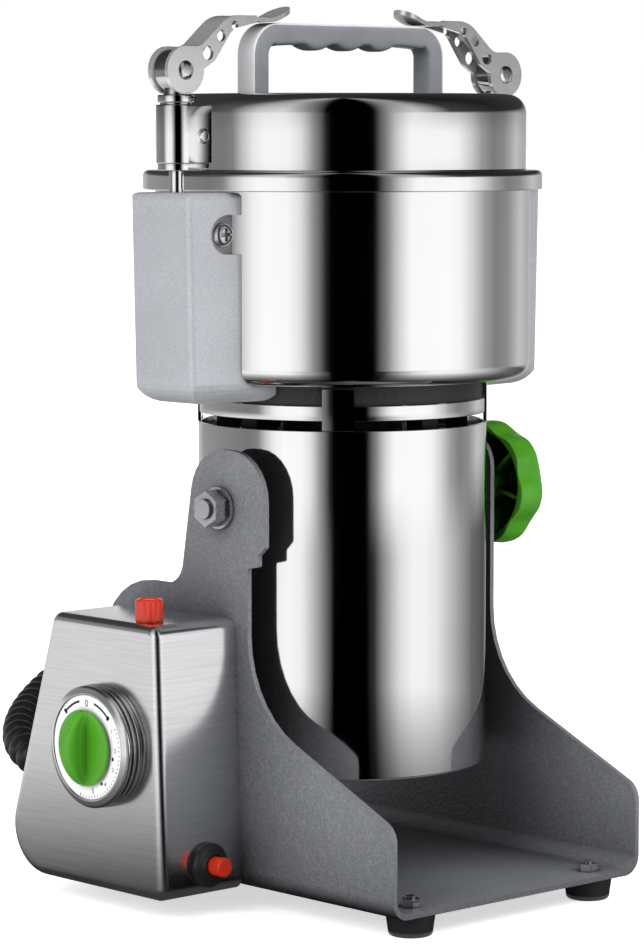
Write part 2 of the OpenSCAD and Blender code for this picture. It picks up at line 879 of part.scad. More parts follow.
// The plane that the loop lies in is square to this
loop_side = unit(cross(end_dir, end_at - start_at));
bend_steps = 90;
function bezier(a, b, c, d, t) =
    pow(1 - t, 3) * a + 3 * pow(1 - t, 2) * t * b + 3 * (1 - t) * t * t * c + pow(t, 3) * d;
bend_from = start_at + start_dir * conduit_run;
bend_to = end_at + end_dir * conduit_run;
function bend_point(t) = bezier(bend_from, bend_from + start_dir * conduit_d * start_swing_share,
    bend_to + end_dir * conduit_d * end_swing_share - [0, 0, loop_sag], bend_to, t);
bend_points = [for (i = [0:bend_steps]) bend_point(i / bend_steps)];
function lengths(p, i = 0, sum = [0]) = i >= len(p) - 1 ? sum :
    lengths(p, i + 1, concat(sum, [sum[i] + norm(p[i + 1] - p[i])]));
route = concat([start_at], bend_points, [end_at]);
marks = lengths(route);
conduit_len = marks[len(marks) - 1];
function stretch(s, i = 0) = i >= len(marks) - 2 || marks[i + 1] >= s ? i : stretch(s, i + 1);
function route_at(s) = let (
    i = stretch(s),
    part = (s - marks[i]) / (marks[i + 1] - marks[i])
) route[i] + (route[i + 1] - route[i]) * part;
ribs = floor(conduit_len / rib_pitch);
stations = 2 * ribs;
sides = 8;
function run_at(s) = unit(route_at(min(s + rib_pitch / 4, conduit_len)) - route_at(max(s - rib_pitch / 4, 0)));
// One ring of points round the route
function ring_at(s, r) = let (
    run = run_at(s),
    side = unit(loop_side - run * (loop_side * run)),
    up = cross(run, side)
) [for (k = [0:sides - 1]) route_at(s) + r * (cos(k * 360 / sides) * side + sin(k * 360 / sides) * up)];
crest_r = conduit_d / 2;
valley_r = crest_r - rib_depth;
bore_r = valley_r - conduit_wall;
outer_points = [for (i = [0:stations]) each ring_at(i * conduit_len / stations,
    i == 0 || i == stations || i % 2 == 0 ? valley_r : crest_r)];
inner_points = [for (i = [0:ribs]) each ring_at(i * conduit_len / ribs, bore_r)];
outer_count = len(outer_points);
function wall_faces(first, rings, out) = [for (i = [0:rings - 1]) for (k = [0:sides - 1]) let (
    a = first + i * sides + k,
    b = first + i * sides + (k + 1) % sides
) each out ? [[a, a + sides, b], [b, a + sides, b + sides]] : [[a, b, a + sides], [b, b + sides, a + sides]]];
function end_faces(outer, inner, start) = [for (k = [0:sides - 1]) let (
    j = (k + 1) % sides
) each start ? [[outer + k, outer + j, inner + k], [outer + j, inner + j, inner + k]] :
    [[outer + k, inner + k, outer + j], [outer + j, inner + k, inner + j]]];

module conduit() {
    color("black") polyhedron(
        points = concat(outer_points, inner_points),
        faces = concat(
            wall_faces(0, stations, true),
            wall_faces(outer_count, ribs, false),
            end_faces(0, outer_count, true),
            end_faces(stations * sides, outer_count + ribs * sides, false)
        )
    );
}

// The least gap between stretches of the conduit that don't follow one another
far_apart = 3.2 * conduit_d;
gap_step = conduit_d / 4;
gap_marks = [for (s = [0:gap_step:conduit_len]) s];
conduit_self_gap = min([for (a = gap_marks) for (b = gap_marks) if (b - a > far_apart)
    norm(route_at(a) - route_at(b)) - conduit_d]);
echo(conduit_length = conduit_len, conduit_self_gap = conduit_self_gap);

// Motor

module motor_tube() {
    color("gainsboro") difference() {
        translate([0, 0, motor_z]) rotate_extrude() polygon(rounded([
            [tube_bore_r - cap_sink, 0, motor_wall / 3],
            [motor_r, 0, motor_wall],
            [motor_r, motor_len, motor_wall / 3],
            [tube_bore_r, motor_len, 0],
            [tube_bore_r, motor_wall, 0],
            [tube_bore_r - cap_sink, motor_wall, motor_wall / 3]
        ]));
        along_x([-motor_r - over, pivot_y, pivot_z])
            cylinder(h = 2 * over + 2 * motor_wall, r = pivot_d / 2 + screw_gap);
        along_x([motor_r - 2 * motor_wall - over, pivot_y, pivot_z])
            cylinder(h = 2 * over + 2 * motor_wall, r = boss_r + fit_gap);
        rotate([0, 0, -motor_gland_turn]) translate([0, tube_bore_r - over, motor_z + motor_gland_up])
            rotate([-90, 0, 0]) cylinder(h = motor_wall + 2 * over, r = gland_stub_r + fit_gap);
    }
}

module bottom_cap() {
    r = tube_bore_r - fit_gap;
    color("black") translate([0, 0, motor_z + motor_wall + fit_gap]) difference() {
        cylinder(h = cap_rim, r = r);
        translate([0, 0, cap_t]) cylinder(h = cap_rim, r = r - cap_t);
        around(cap_slots) translate([window_in, -cap_t, -over])
            cube([window_out - window_in, 2 * cap_t, cap_t + 2 * over]);
    }
}

lower_frame_z = motor_z + lower_frame_up;

module lower_end_frame() {
    cup_r = bearing_small_r + bearing_cup;
    color("lightgray") translate([0, 0, lower_frame_z]) difference() {
        union() {
            ring(tube_bore_r - hub_wall, tube_bore_r - fit_gap, frame_t);
            translate([-tube_bore_r + hub_wall / 2, -pillar_w, 0])
                cube([2 * tube_bore_r - hub_wall, 2 * pillar_w, frame_t]);
            cylinder(h = bearing_small_h + bearing_cup, r = cup_r);
        }
        translate([0, 0, bearing_cup])
            cylinder(h = bearing_small_h + over, r = bearing_small_r + fit_gap / 2);
        translate([0, 0, -over]) cylinder(h = bearing_cup + 2 * over, r = bearing_small_bore + bearing_cup);
    }
}

// A shielded ball bearing, with a groove on both faces between its two races
module bearing(bore, outer, h) {
    difference() {
        ring(bore + screw_gap, outer, h);
        for (z = [-over, h - race_groove]) translate([0, 0, z])
            ring(bore + race_w, outer - race_w, over + race_groove);
    }
}

module lower_bearing() {
    color("silver") translate([0, 0, lower_frame_z + bearing_cup])
        bearing(bearing_small_bore, bearing_small_r, bearing_small_h);
}

top_frame_z = tube_z - top_frame_down;
flange_frame_z = bowl_z - top_flange_drop;

module upper_end_frame() {
    r = tube_bore_r - fit_gap;
    hub_r = bearing_large_r + hub_wall;
    color("dimgray") difference() {
        union() {
            translate([0, 0, top_frame_z]) cylinder(h = frame_t, r = r);
            translate([0, 0, top_frame_z]) cylinder(h = flange_frame_z - top_frame_z + over, r = hub_r);
            translate([0, 0, top_frame_z]) around(pillars)
                translate([window_out - pillar_deep, -pillar_w / 2, 0])
                    cube([pillar_deep, pillar_w, flange_frame_z - top_frame_z + over]);
            translate([0, 0, flange_frame_z]) cylinder(h = top_flange_drop, r = r);
        }
        translate([0, 0, top_frame_z - over]) around(pillars, 180 / pillars)
            translate([window_in, -pillar_w / 2, 0])
                cube([window_out - window_in, pillar_w, frame_t + 2 * over]);
        translate([0, 0, top_frame_z - over])
            cylinder(h = bearing_large_h + over, r = bearing_large_r + fit_gap / 2);
        translate([0, 0, top_frame_z - over])
            cylinder(h = bowl_z - top_frame_z + 2 * over, r = seal_r + fit_gap);
    }
}

module upper_bearing() {
    color("silver") translate([0, 0, top_frame_z])
        bearing(bearing_large_bore, bearing_large_r, bearing_large_h);
}

stator_z = motor_z + stator_up;
stator_bore = armature_d / 2 + air_gap;
coil_w = (tube_bore_r - stator_bore - coil_in) * coil_share;
// The laminations are flat at the front and the back, which leaves room for the gland's nut
stator_flat = tube_bore_r - gland_stub_len - stator_clear;

module stator_core() {
    color("slategray") translate([0, 0, stator_z]) difference() {
        ring(stator_bore, tube_bore_r - fit_gap, armature_len);
        around(2, -slot_angle / 2) translate([0, 0, -over]) rotate_extrude(angle = slot_angle)
            translate([stator_bore + coil_in, 0]) square([coil_w, armature_len + 2 * over]);
        for (s = [0, 180]) rotate([0, 0, s - motor_gland_turn]) translate([-motor_r, stator_flat, -over])
            cube([motor_d, motor_r, armature_len + 2 * over]);
    }
}

module field_coils() {
    color("chocolate") for (z = [stator_z - coil_h, stator_z + armature_len])
        translate([0, 0, z]) rotate_extrude() translate([stator_bore + coil_in, 0])
            polygon(rounded([[0, 0, coil_in], [coil_w, 0, coil_in], [coil_w, coil_h, coil_in],
                [0, coil_h, coil_in]]));
}

commutator_z = stator_z - coil_h - commutator_h;

// Two brushes in their holders, which stand on the lower end frame
module brush_gear() {
    mid = commutator_z + commutator_h / 2;
    color("saddlebrown") for (s = [0, 180]) rotate([0, 0, s])
        translate([commutator_r + face_gap, -brush_w / 2, 0]) {
            translate([0, 0, mid - brush_h / 2]) cube([brush_len, brush_w, brush_h]);
            translate([brush_len / 2, 0, lower_frame_z + frame_t])
                cube([brush_len / 2, brush_w, mid - lower_frame_z - frame_t]);
        }
}

module neck_ring() {
    inner = tube_bore_r + fit_gap;
    color("gainsboro") translate([0, 0, tube_z]) {
        translate([0, 0, ring_low]) ring(inner, inner + ring_t, ring_h);
        intersection() {
            ring(inner, inner + ring_t + strap_proud, strap_top);
            around(straps, 45) translate([0, -strap_w / 2, 0])
                cube([motor_r + over, strap_w, strap_top]);
        }
    }
}

// Turning parts

spigot_z = bowl_z + spigot_base;
blades_z = spigot_z + blade_t + blade_gap;
shaft_low = lower_frame_z + bearing_cup;

module rotor_shaft() {
    color("silver") {
        translate([0, 0, shaft_low]) cylinder(h = bearing_small_h + over, r = bearing_small_bore);
        translate([0, 0, shaft_low + bearing_small_h])
            cylinder(h = top_frame_z - shaft_low - bearing_small_h, r = shaft_d / 2);
        translate([0, 0, top_frame_z - fit_gap])
            cylinder(h = bearing_large_h + 2 * fit_gap, r = bearing_large_bore);
        translate([0, 0, top_frame_z]) cylinder(h = spigot_z - top_frame_z, r = shaft_d / 2);
        translate([0, 0, spigot_z - fit_gap])
            cylinder(h = blades_z + blade_t + nut_h + spigot_end + fit_gap - spigot_z, r = spigot_r);
    }
}

module rotor_core() {
    bore = shaft_d / 2 + screw_gap;
    color("slategray") translate([0, 0, stator_z]) {
        ring(bore, armature_d / 2, armature_len);
        for (z = [-coil_h, armature_len]) translate([0, 0, z])
            ring(bore, armature_d / 2 - coil_in, coil_h);
    }
}

module commutator() {
    color("peru") translate([0, 0, commutator_z]) ring(shaft_d / 2 + screw_gap, commutator_r, commutator_h);
}

module cooling_fan() {
    fan_z = stator_z + armature_len + coil_h + fan_over;
    color("gainsboro") translate([0, 0, fan_z]) difference() {
        union() {
            cylinder(h = fan_t, r = fan_r);
            cylinder(h = fan_blade_h, r = fan_hub_r);
            around(fan_blades) translate([fan_hub_r - over, -fan_t / 2, 0])
                cube([fan_r - fan_hub_r, fan_t, fan_blade_h]);
        }
        translate([0, 0, -over]) cylinder(h = fan_blade_h + 2 * over, r = shaft_d / 2 + screw_gap);
    }
}

// A two-winged blade seen from above
module blade_plan(half) {
    polygon(rounded([
        [-half, blade_tip_w / 2, 0], [-blade_root_w / 2, blade_root_w / 2, blade_root_w / 4],
        [blade_root_w / 2, blade_root_w / 2, blade_root_w / 4], [half, -blade_tip_w / 4, 0],
        [half, -blade_tip_w / 2, 0], [blade_root_w / 2, -blade_root_w / 2, blade_root_w / 4],
        [-blade_root_w / 2, -blade_root_w / 2, blade_root_w / 4], [-half, blade_tip_w / 4, 0]
    ]));
}

// The same blade from the side: a flat hub with wings that bend up or down, chosen by the sign
module blade(half, rise) {
    lift = sign(rise) * blade_t;
    intersection() {
        linear_extrude(4 * (blade_bend + blade_t), center = true) difference() {
            blade_plan(half);
            circle(spigot_r + screw_gap);
        }
        translate([0, half, 0]) rotate([90, 0, 0]) linear_extrude(2 * half) polygon([
            [-half, rise], [-blade_wing, 0], [blade_wing, 0], [half, rise],
            [half, rise + blade_t], [blade_wing, blade_t], [-blade_wing, blade_t], [-half, rise + blade_t]
        ]);
    }
}

module lower_blade() {
    color("silver") translate([0, 0, spigot_z]) rotate([0, 0, 45]) blade(blade_half, -blade_bend / 2);
}

module blade_spacer() {
    color("silver") translate([0, 0, spigot_z + blade_t])
        ring(spigot_r + screw_gap, blade_root_w / 3, blade_gap);
}

module upper_blade() {
    color("silver") translate([0, 0, blades_z]) rotate([0, 0, -45])
        blade(blade_half * upper_blade_share, blade_bend);
}

module blade_nut() {
    color("silver") translate([0, 0, blades_z + blade_t]) difference() {
        hexagon(nut_flat, nut_h);
        translate([0, 0, -over]) cylinder(h = nut_h + 2 * over, r = spigot_r + screw_gap);
    }
}

module shaft_seal() {
    color("white") translate([0, 0, bowl_z - seal_h + bowl_wall]) difference() {
        union() {
            cylinder(h = seal_h + bowl_wall, r = seal_r);
            translate([0, 0, seal_h]) cylinder(h = bowl_wall, r = seal_r + bearing_cup);
        }
        translate([0, 0, -over]) cylinder(h = seal_h + 2 * bowl_wall + over, r = shaft_d / 2 + run_gap);
    }
}

// Pivot and lock

module pivot_bolt() {
    inner = tube_bore_r - motor_wall;
    color("silver") along_x([-base_half - washer_t - face_gap - pivot_nut_h - pivot_end, pivot_y, pivot_z]) {
        reach = base_half + washer_t + face_gap + pivot_nut_h + pivot_end - inner;
        cylinder(h = reach + over, r = pivot_d / 2);
        translate([0, 0, reach]) hexagon(2 * pivot_head_r * cos(30), pivot_head_h);
    }
}

module pivot_spacer() {
    color("silver") difference() {
        along_x([-inner_half + face_gap, pivot_y, pivot_z])
            ring(pivot_d / 2 + screw_gap, spacer_r, cheek_gap + over);
        translate([0, 0, motor_z]) cylinder(h = motor_len, r = motor_r + fit_gap / 2);
    }
}

module pivot_washers() {
    color("silver") {
        along_x([-base_half - face_gap / 2 - washer_t, pivot_y, pivot_z])
            ring(pivot_d / 2 + screw_gap, washer_r, washer_t);
        along_x([base_half + face_gap / 2, pivot_y, pivot_z])
            ring(pivot_d / 2 + run_gap, washer_r + over, washer_t);
    }
}

module pivot_nut() {
    color("silver") along_x([-base_half - face_gap - washer_t - pivot_nut_h + face_gap / 2, pivot_y, pivot_z])
        difference() {
            hexagon(2 * pivot_head_r * cos(30), pivot_nut_h);
            translate([0, 0, -over]) cylinder(h = pivot_nut_h + 2 * over, r = pivot_d / 2 + screw_gap);
        }
}

module lock_boss() {
    color("silver") along_x([motor_r - boss_in, pivot_y, pivot_z])
        ring(pivot_d / 2 + run_gap, boss_r, boss_in + cheek_gap - face_gap);
}

knob_x = base_half + washer_t + face_gap;

module lock_stud() {
    color("silver") along_x([motor_r - stud_in, pivot_y, pivot_z])
        cylinder(h = knob_x + lock_knob_len / 2 - motor_r + stud_in, r = pivot_d / 2);
}

// A hollow hand knob with a lobed rim outside, and a hub and ribs inside
module lock_knob() {
    outer = lock_knob_d / 2;
    cup = outer - lobe_cut - knob_wall;
    cup_end = lock_knob_len - knob_plate;
    color("limegreen") along_x([knob_x, pivot_y, pivot_z]) difference() {
        union() {
            difference() {
                rotate_extrude() polygon(rounded([
                    [0, knob_set, 0], [outer - knob_draft, knob_set, knob_wall / 2],
                    [outer, lock_knob_len, knob_plate], [0, lock_knob_len, 0]
                ]));
                around(lock_lobes) translate([outer + lobe_r - lobe_cut, 0, 0])
                    cylinder(h = lock_knob_len + over, r = lobe_r);
                translate([0, 0, knob_set - over]) cylinder(h = cup_end - knob_set + over, r = cup);
            }
            cylinder(h = lock_knob_len - over, r = knob_hub_r);
            translate([0, 0, knob_set + knob_wall]) around(lock_lobes, 180 / lock_lobes)
                translate([knob_hub_r - over, -rib_t / 2, 0])
                    cube([cup - knob_hub_r + 2 * over, rib_t, cup_end - knob_set - knob_wall + over]);
        }
        translate([0, 0, -over]) cylinder(h = lock_knob_len / 2 + over, r = pivot_d / 2 + screw_gap);
    }
}

// Bowl and lid

lug_z = rim_z - lug_drop;
seat_y = bracket_w / 2 - seat_in;

module bowl() {
    r = bowl_d / 2;
    in_r = r - bowl_wall;
    color("gainsboro") difference() {
        union() {
            translate([0, 0, bowl_z]) rotate_extrude() polygon(concat(
                corner([0, 0], [r, 0], [r, bowl_h], bowl_edge_r),
                [[r, bowl_h], [r + rim_w, bowl_h], [r + rim_w, bowl_h + rim_t], [in_r, bowl_h + rim_t]],
                corner([in_r, bowl_h], [in_r, bowl_wall], [0, bowl_wall], bowl_edge_r - bowl_wall),
                [[0, bowl_wall], [0, 0]]
            ));
            for (s = [-1, 1]) translate([s > 0 ? in_r + bowl_wall / 2 : -r - lug_reach, -lug_half, lug_z - lug_h / 2])
                cube([lug_reach + bowl_wall / 2, 2 * lug_half, lug_h]);
        }
        translate([0, 0, bowl_z - over]) cylinder(h = bowl_wall + 2 * over, r = seal_r + fit_gap);
        for (s = [-1, 1]) translate([s * screw_x(), bracket_w, lug_z]) rotate([90, 0, 0])
            cylinder(h = 2 * bracket_w, r = m5_r + screw_gap);
    }
}

// How far out the casting's screws stand: in the middle of the lug that they enter
function screw_x() = bowl_d / 2 + lug_reach / 2;

module lid_seal() {
    color("white") translate([0, 0, rim_z + rim_t]) ring(lid_d / 2 - lid_wall, bowl_d / 2 + rim_w - fit_gap, seal_t);
}

module lid() {
    r = lid_d / 2;
    in_r = r - lid_wall;
    out = flange_d / 2;
    color("gainsboro") difference() {
        translate([0, 0, flange_z]) rotate_extrude() polygon(concat(
            [[in_r, -lid_wall], [out - lid_wall, -lid_wall], [out - lid_wall, -flange_h], [out, -flange_h]],
            corner([out, -flange_h], [out, 0], [r, 0], 2 * lid_wall),
            [[r, 0]],
            corner([r, 0], [r, dome_h], [0, dome_h], dome_edge_r),
            [[0, dome_h], [0, dome_h - lid_wall]],
            corner([0, dome_h - lid_wall], [in_r, dome_h - lid_wall], [in_r, 0], dome_edge_r - lid_wall)
        ));
        for (s = [-1, 1]) translate([s * (handle_len - handle_t) / 2, 0, dome_z - lid_wall - over])
            cylinder(h = lid_wall + 2 * over, r = m4_r + screw_gap);
    }
}

// A bow handle with finger grips under its bar
module lid_handle() {
    half = handle_len / 2;
    inner = half - handle_t;
    color("gray") difference() {
        translate([0, handle_w / 2, dome_z]) rotate([90, 0, 0]) linear_extrude(handle_w) difference() {
            polygon(rounded([
                [-half, 0, 0], [-half, handle_h, handle_r], [half, handle_h, handle_r], [half, 0, 0]
            ]));
            difference() {
                polygon(rounded([
                    [-inner, -over, 0], [-inner, handle_h - handle_t, handle_inner_r],
                    [inner, handle_h - handle_t, handle_inner_r], [inner, -over, 0]
                ]));
                for (i = [0:fingers - 1])
                    translate([(i - (fingers - 1) / 2) * finger_pitch,
                        handle_h - handle_t - finger_drop + finger_r]) circle(finger_r);
            }
        }
        for (s = [-1, 1]) translate([s * (handle_len - handle_t) / 2, 0, dome_z - over])
            cylinder(h = handle_screw_len + over, r = m4_r + screw_gap);
    }
}

module handle_screws() {
    color("silver") for (s = [-1, 1])
        translate([s * (handle_len - handle_t) / 2, 0, dome_z - lid_wall])
            screw(m4_r, lid_wall + handle_screw_len - over, m4_head_r, m4_head_h);
}

// Clamps. Everything here is drawn on the +X side with the post as its middle, then placed

bracket_top_z = flange_z - flange_h - bracket_top_gap;
bracket_low_z = bowl_z - bracket_low;

// Puts a clamp's piece at its post. The left one is the mirror image of the right one
module at_post(side) {
    mirror([side < 0 ? 1 : 0, 0, 0]) translate([post_reach, 0, 0]) children();
}

bracket_h = bracket_top_z - bracket_low_z;
flare_len = bracket_reach - bowl_d / 2;

// One flank of the casting, which leans out towards the bowl, with its upper and lower edges rounded
module bracket_flank(s) {
    span = 2 * bracket_w;
    translate([bracket_reach, s * bracket_w / 2, bracket_low_z])
        rotate([0, 0, -s * atan(bracket_flare / flare_len)])
        translate([-bracket_reach, 0, 0]) rotate([90, 0, 90]) linear_extrude(bracket_reach + span)
            polygon(rounded([
                [0, 0, bracket_low_r], [-s * span, 0, 0],
                [-s * span, bracket_h, 0], [0, bracket_h, bracket_edge_r]
            ]));
}

// The casting's form, drawn on the +X side: seen from the front, from both flanks and from above
module bracket_form() {
    half = bracket_w / 2;
    wide = half + bracket_flare;
    near = tube_bore_r - bracket_w;
    intersection() {
        translate([0, bracket_w, bracket_low_z]) rotate([90, 0, 0]) linear_extrude(2 * bracket_w)
            polygon(rounded([
                [near, 0, 0], [bracket_reach - bracket_draft, 0, bracket_low_r],
                [bracket_reach, bracket_h, bracket_edge_r], [near, bracket_h, 0]
            ]));
        bracket_flank(-1);
        bracket_flank(1);
        translate([bracket_reach, 0, bracket_top_z]) rotate([0, atan(bracket_draft / bracket_h), 0])
            translate([-bracket_reach, 0, -2 * bracket_h]) linear_extrude(3 * bracket_h)
                polygon(rounded([
                    [0, -wide, 0], [bracket_reach - flare_len, -wide, 0],
                    [bracket_reach, -half, bracket_edge_r], [bracket_reach, half, bracket_edge_r],
                    [bracket_reach - flare_len, wide, 0], [0, wide, 0]
                ]));
    }
}

module bracket() {
    seat = bowl_d / 2 + seat_gap;
    inside = bracket_w / 2 - bracket_wall;
    difference() {
        bracket_form();
        translate([0, 0, bowl_z - seat_gap]) rotate_extrude() polygon(concat(
            corner([0, 0], [seat, 0], [seat, bowl_h * 2], bowl_edge_r), [[seat, bowl_h * 2], [0, bowl_h * 2], [0, 0]]));
        cylinder(h = bowl_z + over, r = tube_bore_r + ring_t + strap_proud + 2 * fit_gap);
        translate([post_reach, 0, bracket_low_z + bracket_low_r]) {
            cylinder(h = bracket_top_z, r = post_d / 2 + run_gap);
            cylinder(h = bracket_top_z - nut_pocket_top - bracket_low_z - bracket_low_r, r = nut_pocket_r);
        }
        translate([0, -inside, bracket_low_z + bracket_wall + bracket_low])
            cube([bracket_reach - bracket_wall, 2 * inside,
                bracket_top_z - cavity_top - bracket_low_z - bracket_wall - bracket_low]);
        translate([0, -lug_half - fit_gap, lug_z - lug_h / 2 - fit_gap])
            cube([bowl_d / 2 + lug_reach + fit_gap, 2 * (lug_half + fit_gap), lug_h + 2 * fit_gap]);
        for (s = [-1, 1]) translate([screw_x(), s * seat_y, lug_z]) rotate([-s * 90, 0, 0]) {
            cylinder(h = bracket_w, r = pocket_r);
            translate([-bracket_reach, -pocket_r, 0]) cube([bracket_reach, 2 * pocket_r, bracket_w]);
            translate([0, 0, -bracket_w / 2]) cylinder(h = bracket_w, r = m5_r + screw_gap);
        }
    }
}

module clamp_bracket_left() {
    color("darkgray") mirror([1, 0, 0]) bracket();
}

module clamp_bracket_right() {
    color("darkgray") bracket();
}

module bracket_screws() {
    color("silver") for (side = [-1, 1]) for (s = [-1, 1])
        translate([side * screw_x(), s * seat_y, lug_z]) rotate([s * 90, 0, 0])
            screw(m5_r, m5_len, m5_head_r, m5_head_h);
}

pad_z = flange_z + face_gap;
block_z = pad_z + pad_t;
collar_z = block_z + block_h;
pin_z = collar_z + collar_h + face_gap - side_gap / 2 + eye_r;

// The block seen from above: round about the post, with a nose that reaches over the flange
module block_plan(width, nose) {
    circle(width / 2);
    intersection() {
        circle(nose);
        translate([-nose, -width / 2]) square([nose, width]);
    }
}

// The post with its round head, which the lever straddles, and the nut on its lower end
module post() {
    low = bracket_top_z - post_low;
    difference() {
        union() {
            translate([0, 0, low]) cylinder(h = pin_z - low, r = post_d / 2);
            translate([0, (lever_w / 2 - plate_t - side_gap), pin_z]) rotate([90, 0, 0])
                cylinder(h = 2 * (lever_w / 2 - plate_t - side_gap), r = drum_r);
            translate([0, 0, bracket_top_z - nut_pocket_top - post_nut_h - face_gap]) hexagon(post_nut_flat, post_nut_h);
        }
        translate([0, lever_w, pin_z]) rotate([90, 0, 0]) cylinder(h = 2 * lever_w, r = pin_d / 2 + screw_gap);
    }
}

// The pressing block, its pad below, its collar above and the screw in its side
module block() {
    bore = post_d / 2 + screw_gap;
    difference() {
        union() {
            translate([0, 0, block_z]) linear_extrude(block_h) block_plan(block_w, nose_reach);
            translate([0, 0, pad_z]) linear_extrude(pad_t + fit_gap) block_plan(block_w - pad_in, nose_reach - pad_in);
            translate([0, 0, collar_z - fit_gap]) cylinder(h = collar_h + fit_gap, r = collar_r);
        }
        translate([0, 0, pad_z - over]) cylinder(h = block_h + pad_t + collar_h + 2 * over, r = bore);
    }
    translate([-grub_in, -block_w / 2 + over, collar_z - grub_drop]) rotate([90, 0, 0])
        cylinder(h = over + grub_proud, r = grub_r);
}

module pin() {
    translate([0, lever_w / 2 + pin_proud, pin_z]) rotate([90, 0, 0])
        cylinder(h = lever_w + 2 * pin_proud, r = pin_d / 2);
}

// The lever's top line, from the eye to the tip, measured inwards from the pin and up
function lever_line() = rounded_path([
    [arm_base_share * lever_len * 0.7, eye_r * 0.98, 0],
    [arm_valley_share * lever_len, eye_r * 0.98, arm_valley_r],
    [arm_crest_share * lever_len, arm_rise, arm_crest_r],
    [tip_bend_share * lever_len, arm_rise * 0.96, arm_crest_r],
    [lever_len, tip_rise, 0]
]);

// One side plate: the eye, the arm with its three holes
module lever_plate() {
    difference() {
        union() {
            circle(eye_r);
            polygon(rounded([
                [0, eye_r, 0], [arm_valley_share * lever_len, eye_r * 0.98, arm_valley_r],
                [arm_crest_share * lever_len, arm_rise, arm_crest_r],
                [arm_end_share * lever_len, arm_rise, 0],
                [arm_end_share * lever_len, arm_rise - arm_thick, 0],
                [arm_low_share * lever_len, arm_rise - 2 * arm_thick, arm_valley_r],
                [arm_notch_share * lever_len, eye_r * 0.42, arm_thick],
                [eye_r * 0.9, 0, 0]
            ]));
        }
        circle(pin_d / 2 + run_gap);
        for (h = lever_holes) translate([h.x, h.y]) circle(h.z);
    }
}

module lever() {
    half = lever_w / 2;
    mirror([1, 0, 0]) translate([0, 0, pin_z]) {
        for (y = [half, -half + plate_t]) translate([0, y, 0]) rotate([90, 0, 0])
            linear_extrude(plate_t) lever_plate();
        intersection() {
            translate([0, half, 0]) rotate([90, 0, 0]) linear_extrude(lever_w)
                polygon(strip(lever_line(), plate_t));
            linear_extrude(2 * tip_rise) {
                translate([0, -half]) square([lever_len - half, lever_w]);
                translate([lever_len - half, 0]) circle(half);
            }
        }
    }
}

module clamp_post_left() {
    color("silver") at_post(-1) post();
}

module clamp_block_left() {
    color("silver") at_post(-1) block();
}

module clamp_pin_left() {
    color("silver") at_post(-1) pin();
}

module clamp_lever_left() {
    color("lightgray") at_post(-1) lever();
}

module clamp_post_right() {
    color("silver") at_post(1) post();
}

module clamp_block_right() {
    color("silver") at_post(1) block();
}

module clamp_pin_right() {
    color("silver") at_post(1) pin();
}

module clamp_lever_right() {
    color("lightgray") at_post(1) lever();
}

base_bracket();
rubber_feet();
foot_screws();
foot_nuts();
control_box();
box_screws();
timer_body();
timer_bezel();
dial_plate();
timer_knob();
timer_shaft();
pilot_lamp();
reset_switch();
reset_button();
box_glands();
conduit();
motor_gland();
motor_tube();
bottom_cap();
lower_end_frame();
upper_end_frame();
lower_bearing();
upper_bearing();
stator_core();
field_coils();
brush_gear();
neck_ring();
rotor_shaft();
rotor_core();
commutator();
cooling_fan();
lower_blade();
upper_blade();
blade_spacer();
blade_nut();
shaft_seal();
pivot_bolt();
pivot_spacer();
pivot_washers();
pivot_nut();
lock_boss();
lock_stud();
lock_knob();
bowl();
lid();
lid_seal();
lid_handle();
handle_screws();
clamp_bracket_left();
clamp_bracket_right();
bracket_screws();
clamp_post_left();
clamp_block_left();
clamp_pin_left();
clamp_lever_left();
clamp_post_right();
clamp_block_right();
clamp_pin_right();
clamp_lever_right();
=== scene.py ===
"""Dresses the tilting grain mill: its finishes, its polished shells, its dial, knobs, clamps and hose."""

import logging
import math
from abc import ABC, abstractmethod
from dataclasses import dataclass, field
from enum import Enum
from typing import Any, Sequence

import bmesh
import bpy
import numpy as np
from mathutils import Matrix

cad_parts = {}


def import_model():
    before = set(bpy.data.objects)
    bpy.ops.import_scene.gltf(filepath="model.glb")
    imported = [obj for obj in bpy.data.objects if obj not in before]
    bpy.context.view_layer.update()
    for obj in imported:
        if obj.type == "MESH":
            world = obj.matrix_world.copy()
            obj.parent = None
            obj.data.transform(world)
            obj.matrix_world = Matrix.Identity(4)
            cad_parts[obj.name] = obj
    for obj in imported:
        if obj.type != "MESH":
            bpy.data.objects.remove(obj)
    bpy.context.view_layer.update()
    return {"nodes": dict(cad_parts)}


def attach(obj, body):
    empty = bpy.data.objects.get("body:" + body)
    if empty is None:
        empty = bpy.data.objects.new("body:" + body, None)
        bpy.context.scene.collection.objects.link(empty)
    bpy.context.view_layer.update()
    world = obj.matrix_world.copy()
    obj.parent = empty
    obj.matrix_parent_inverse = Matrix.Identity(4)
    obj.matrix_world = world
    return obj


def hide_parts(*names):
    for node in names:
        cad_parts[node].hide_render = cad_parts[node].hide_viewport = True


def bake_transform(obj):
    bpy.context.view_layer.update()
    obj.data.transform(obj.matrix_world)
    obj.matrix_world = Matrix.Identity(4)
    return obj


LOG = logging.getLogger("mill")
MM = 0.001

# A corner has two coordinates and a radius, and stops are a ramp's positions with their colours
Corner = tuple[float, float, float]
Stops = Sequence[tuple[float, Sequence[float]]]
Socket = bpy.types.NodeSocket


class Body(Enum):
    """The bodies that pieces ride on."""

    BASE = "base"
    HEAD = "head"
    TIMER_DIAL = "timer_dial"
    LOCK = "lock"
    LEFT_POST = "left_post"
    RIGHT_POST = "right_post"


# Surfaces


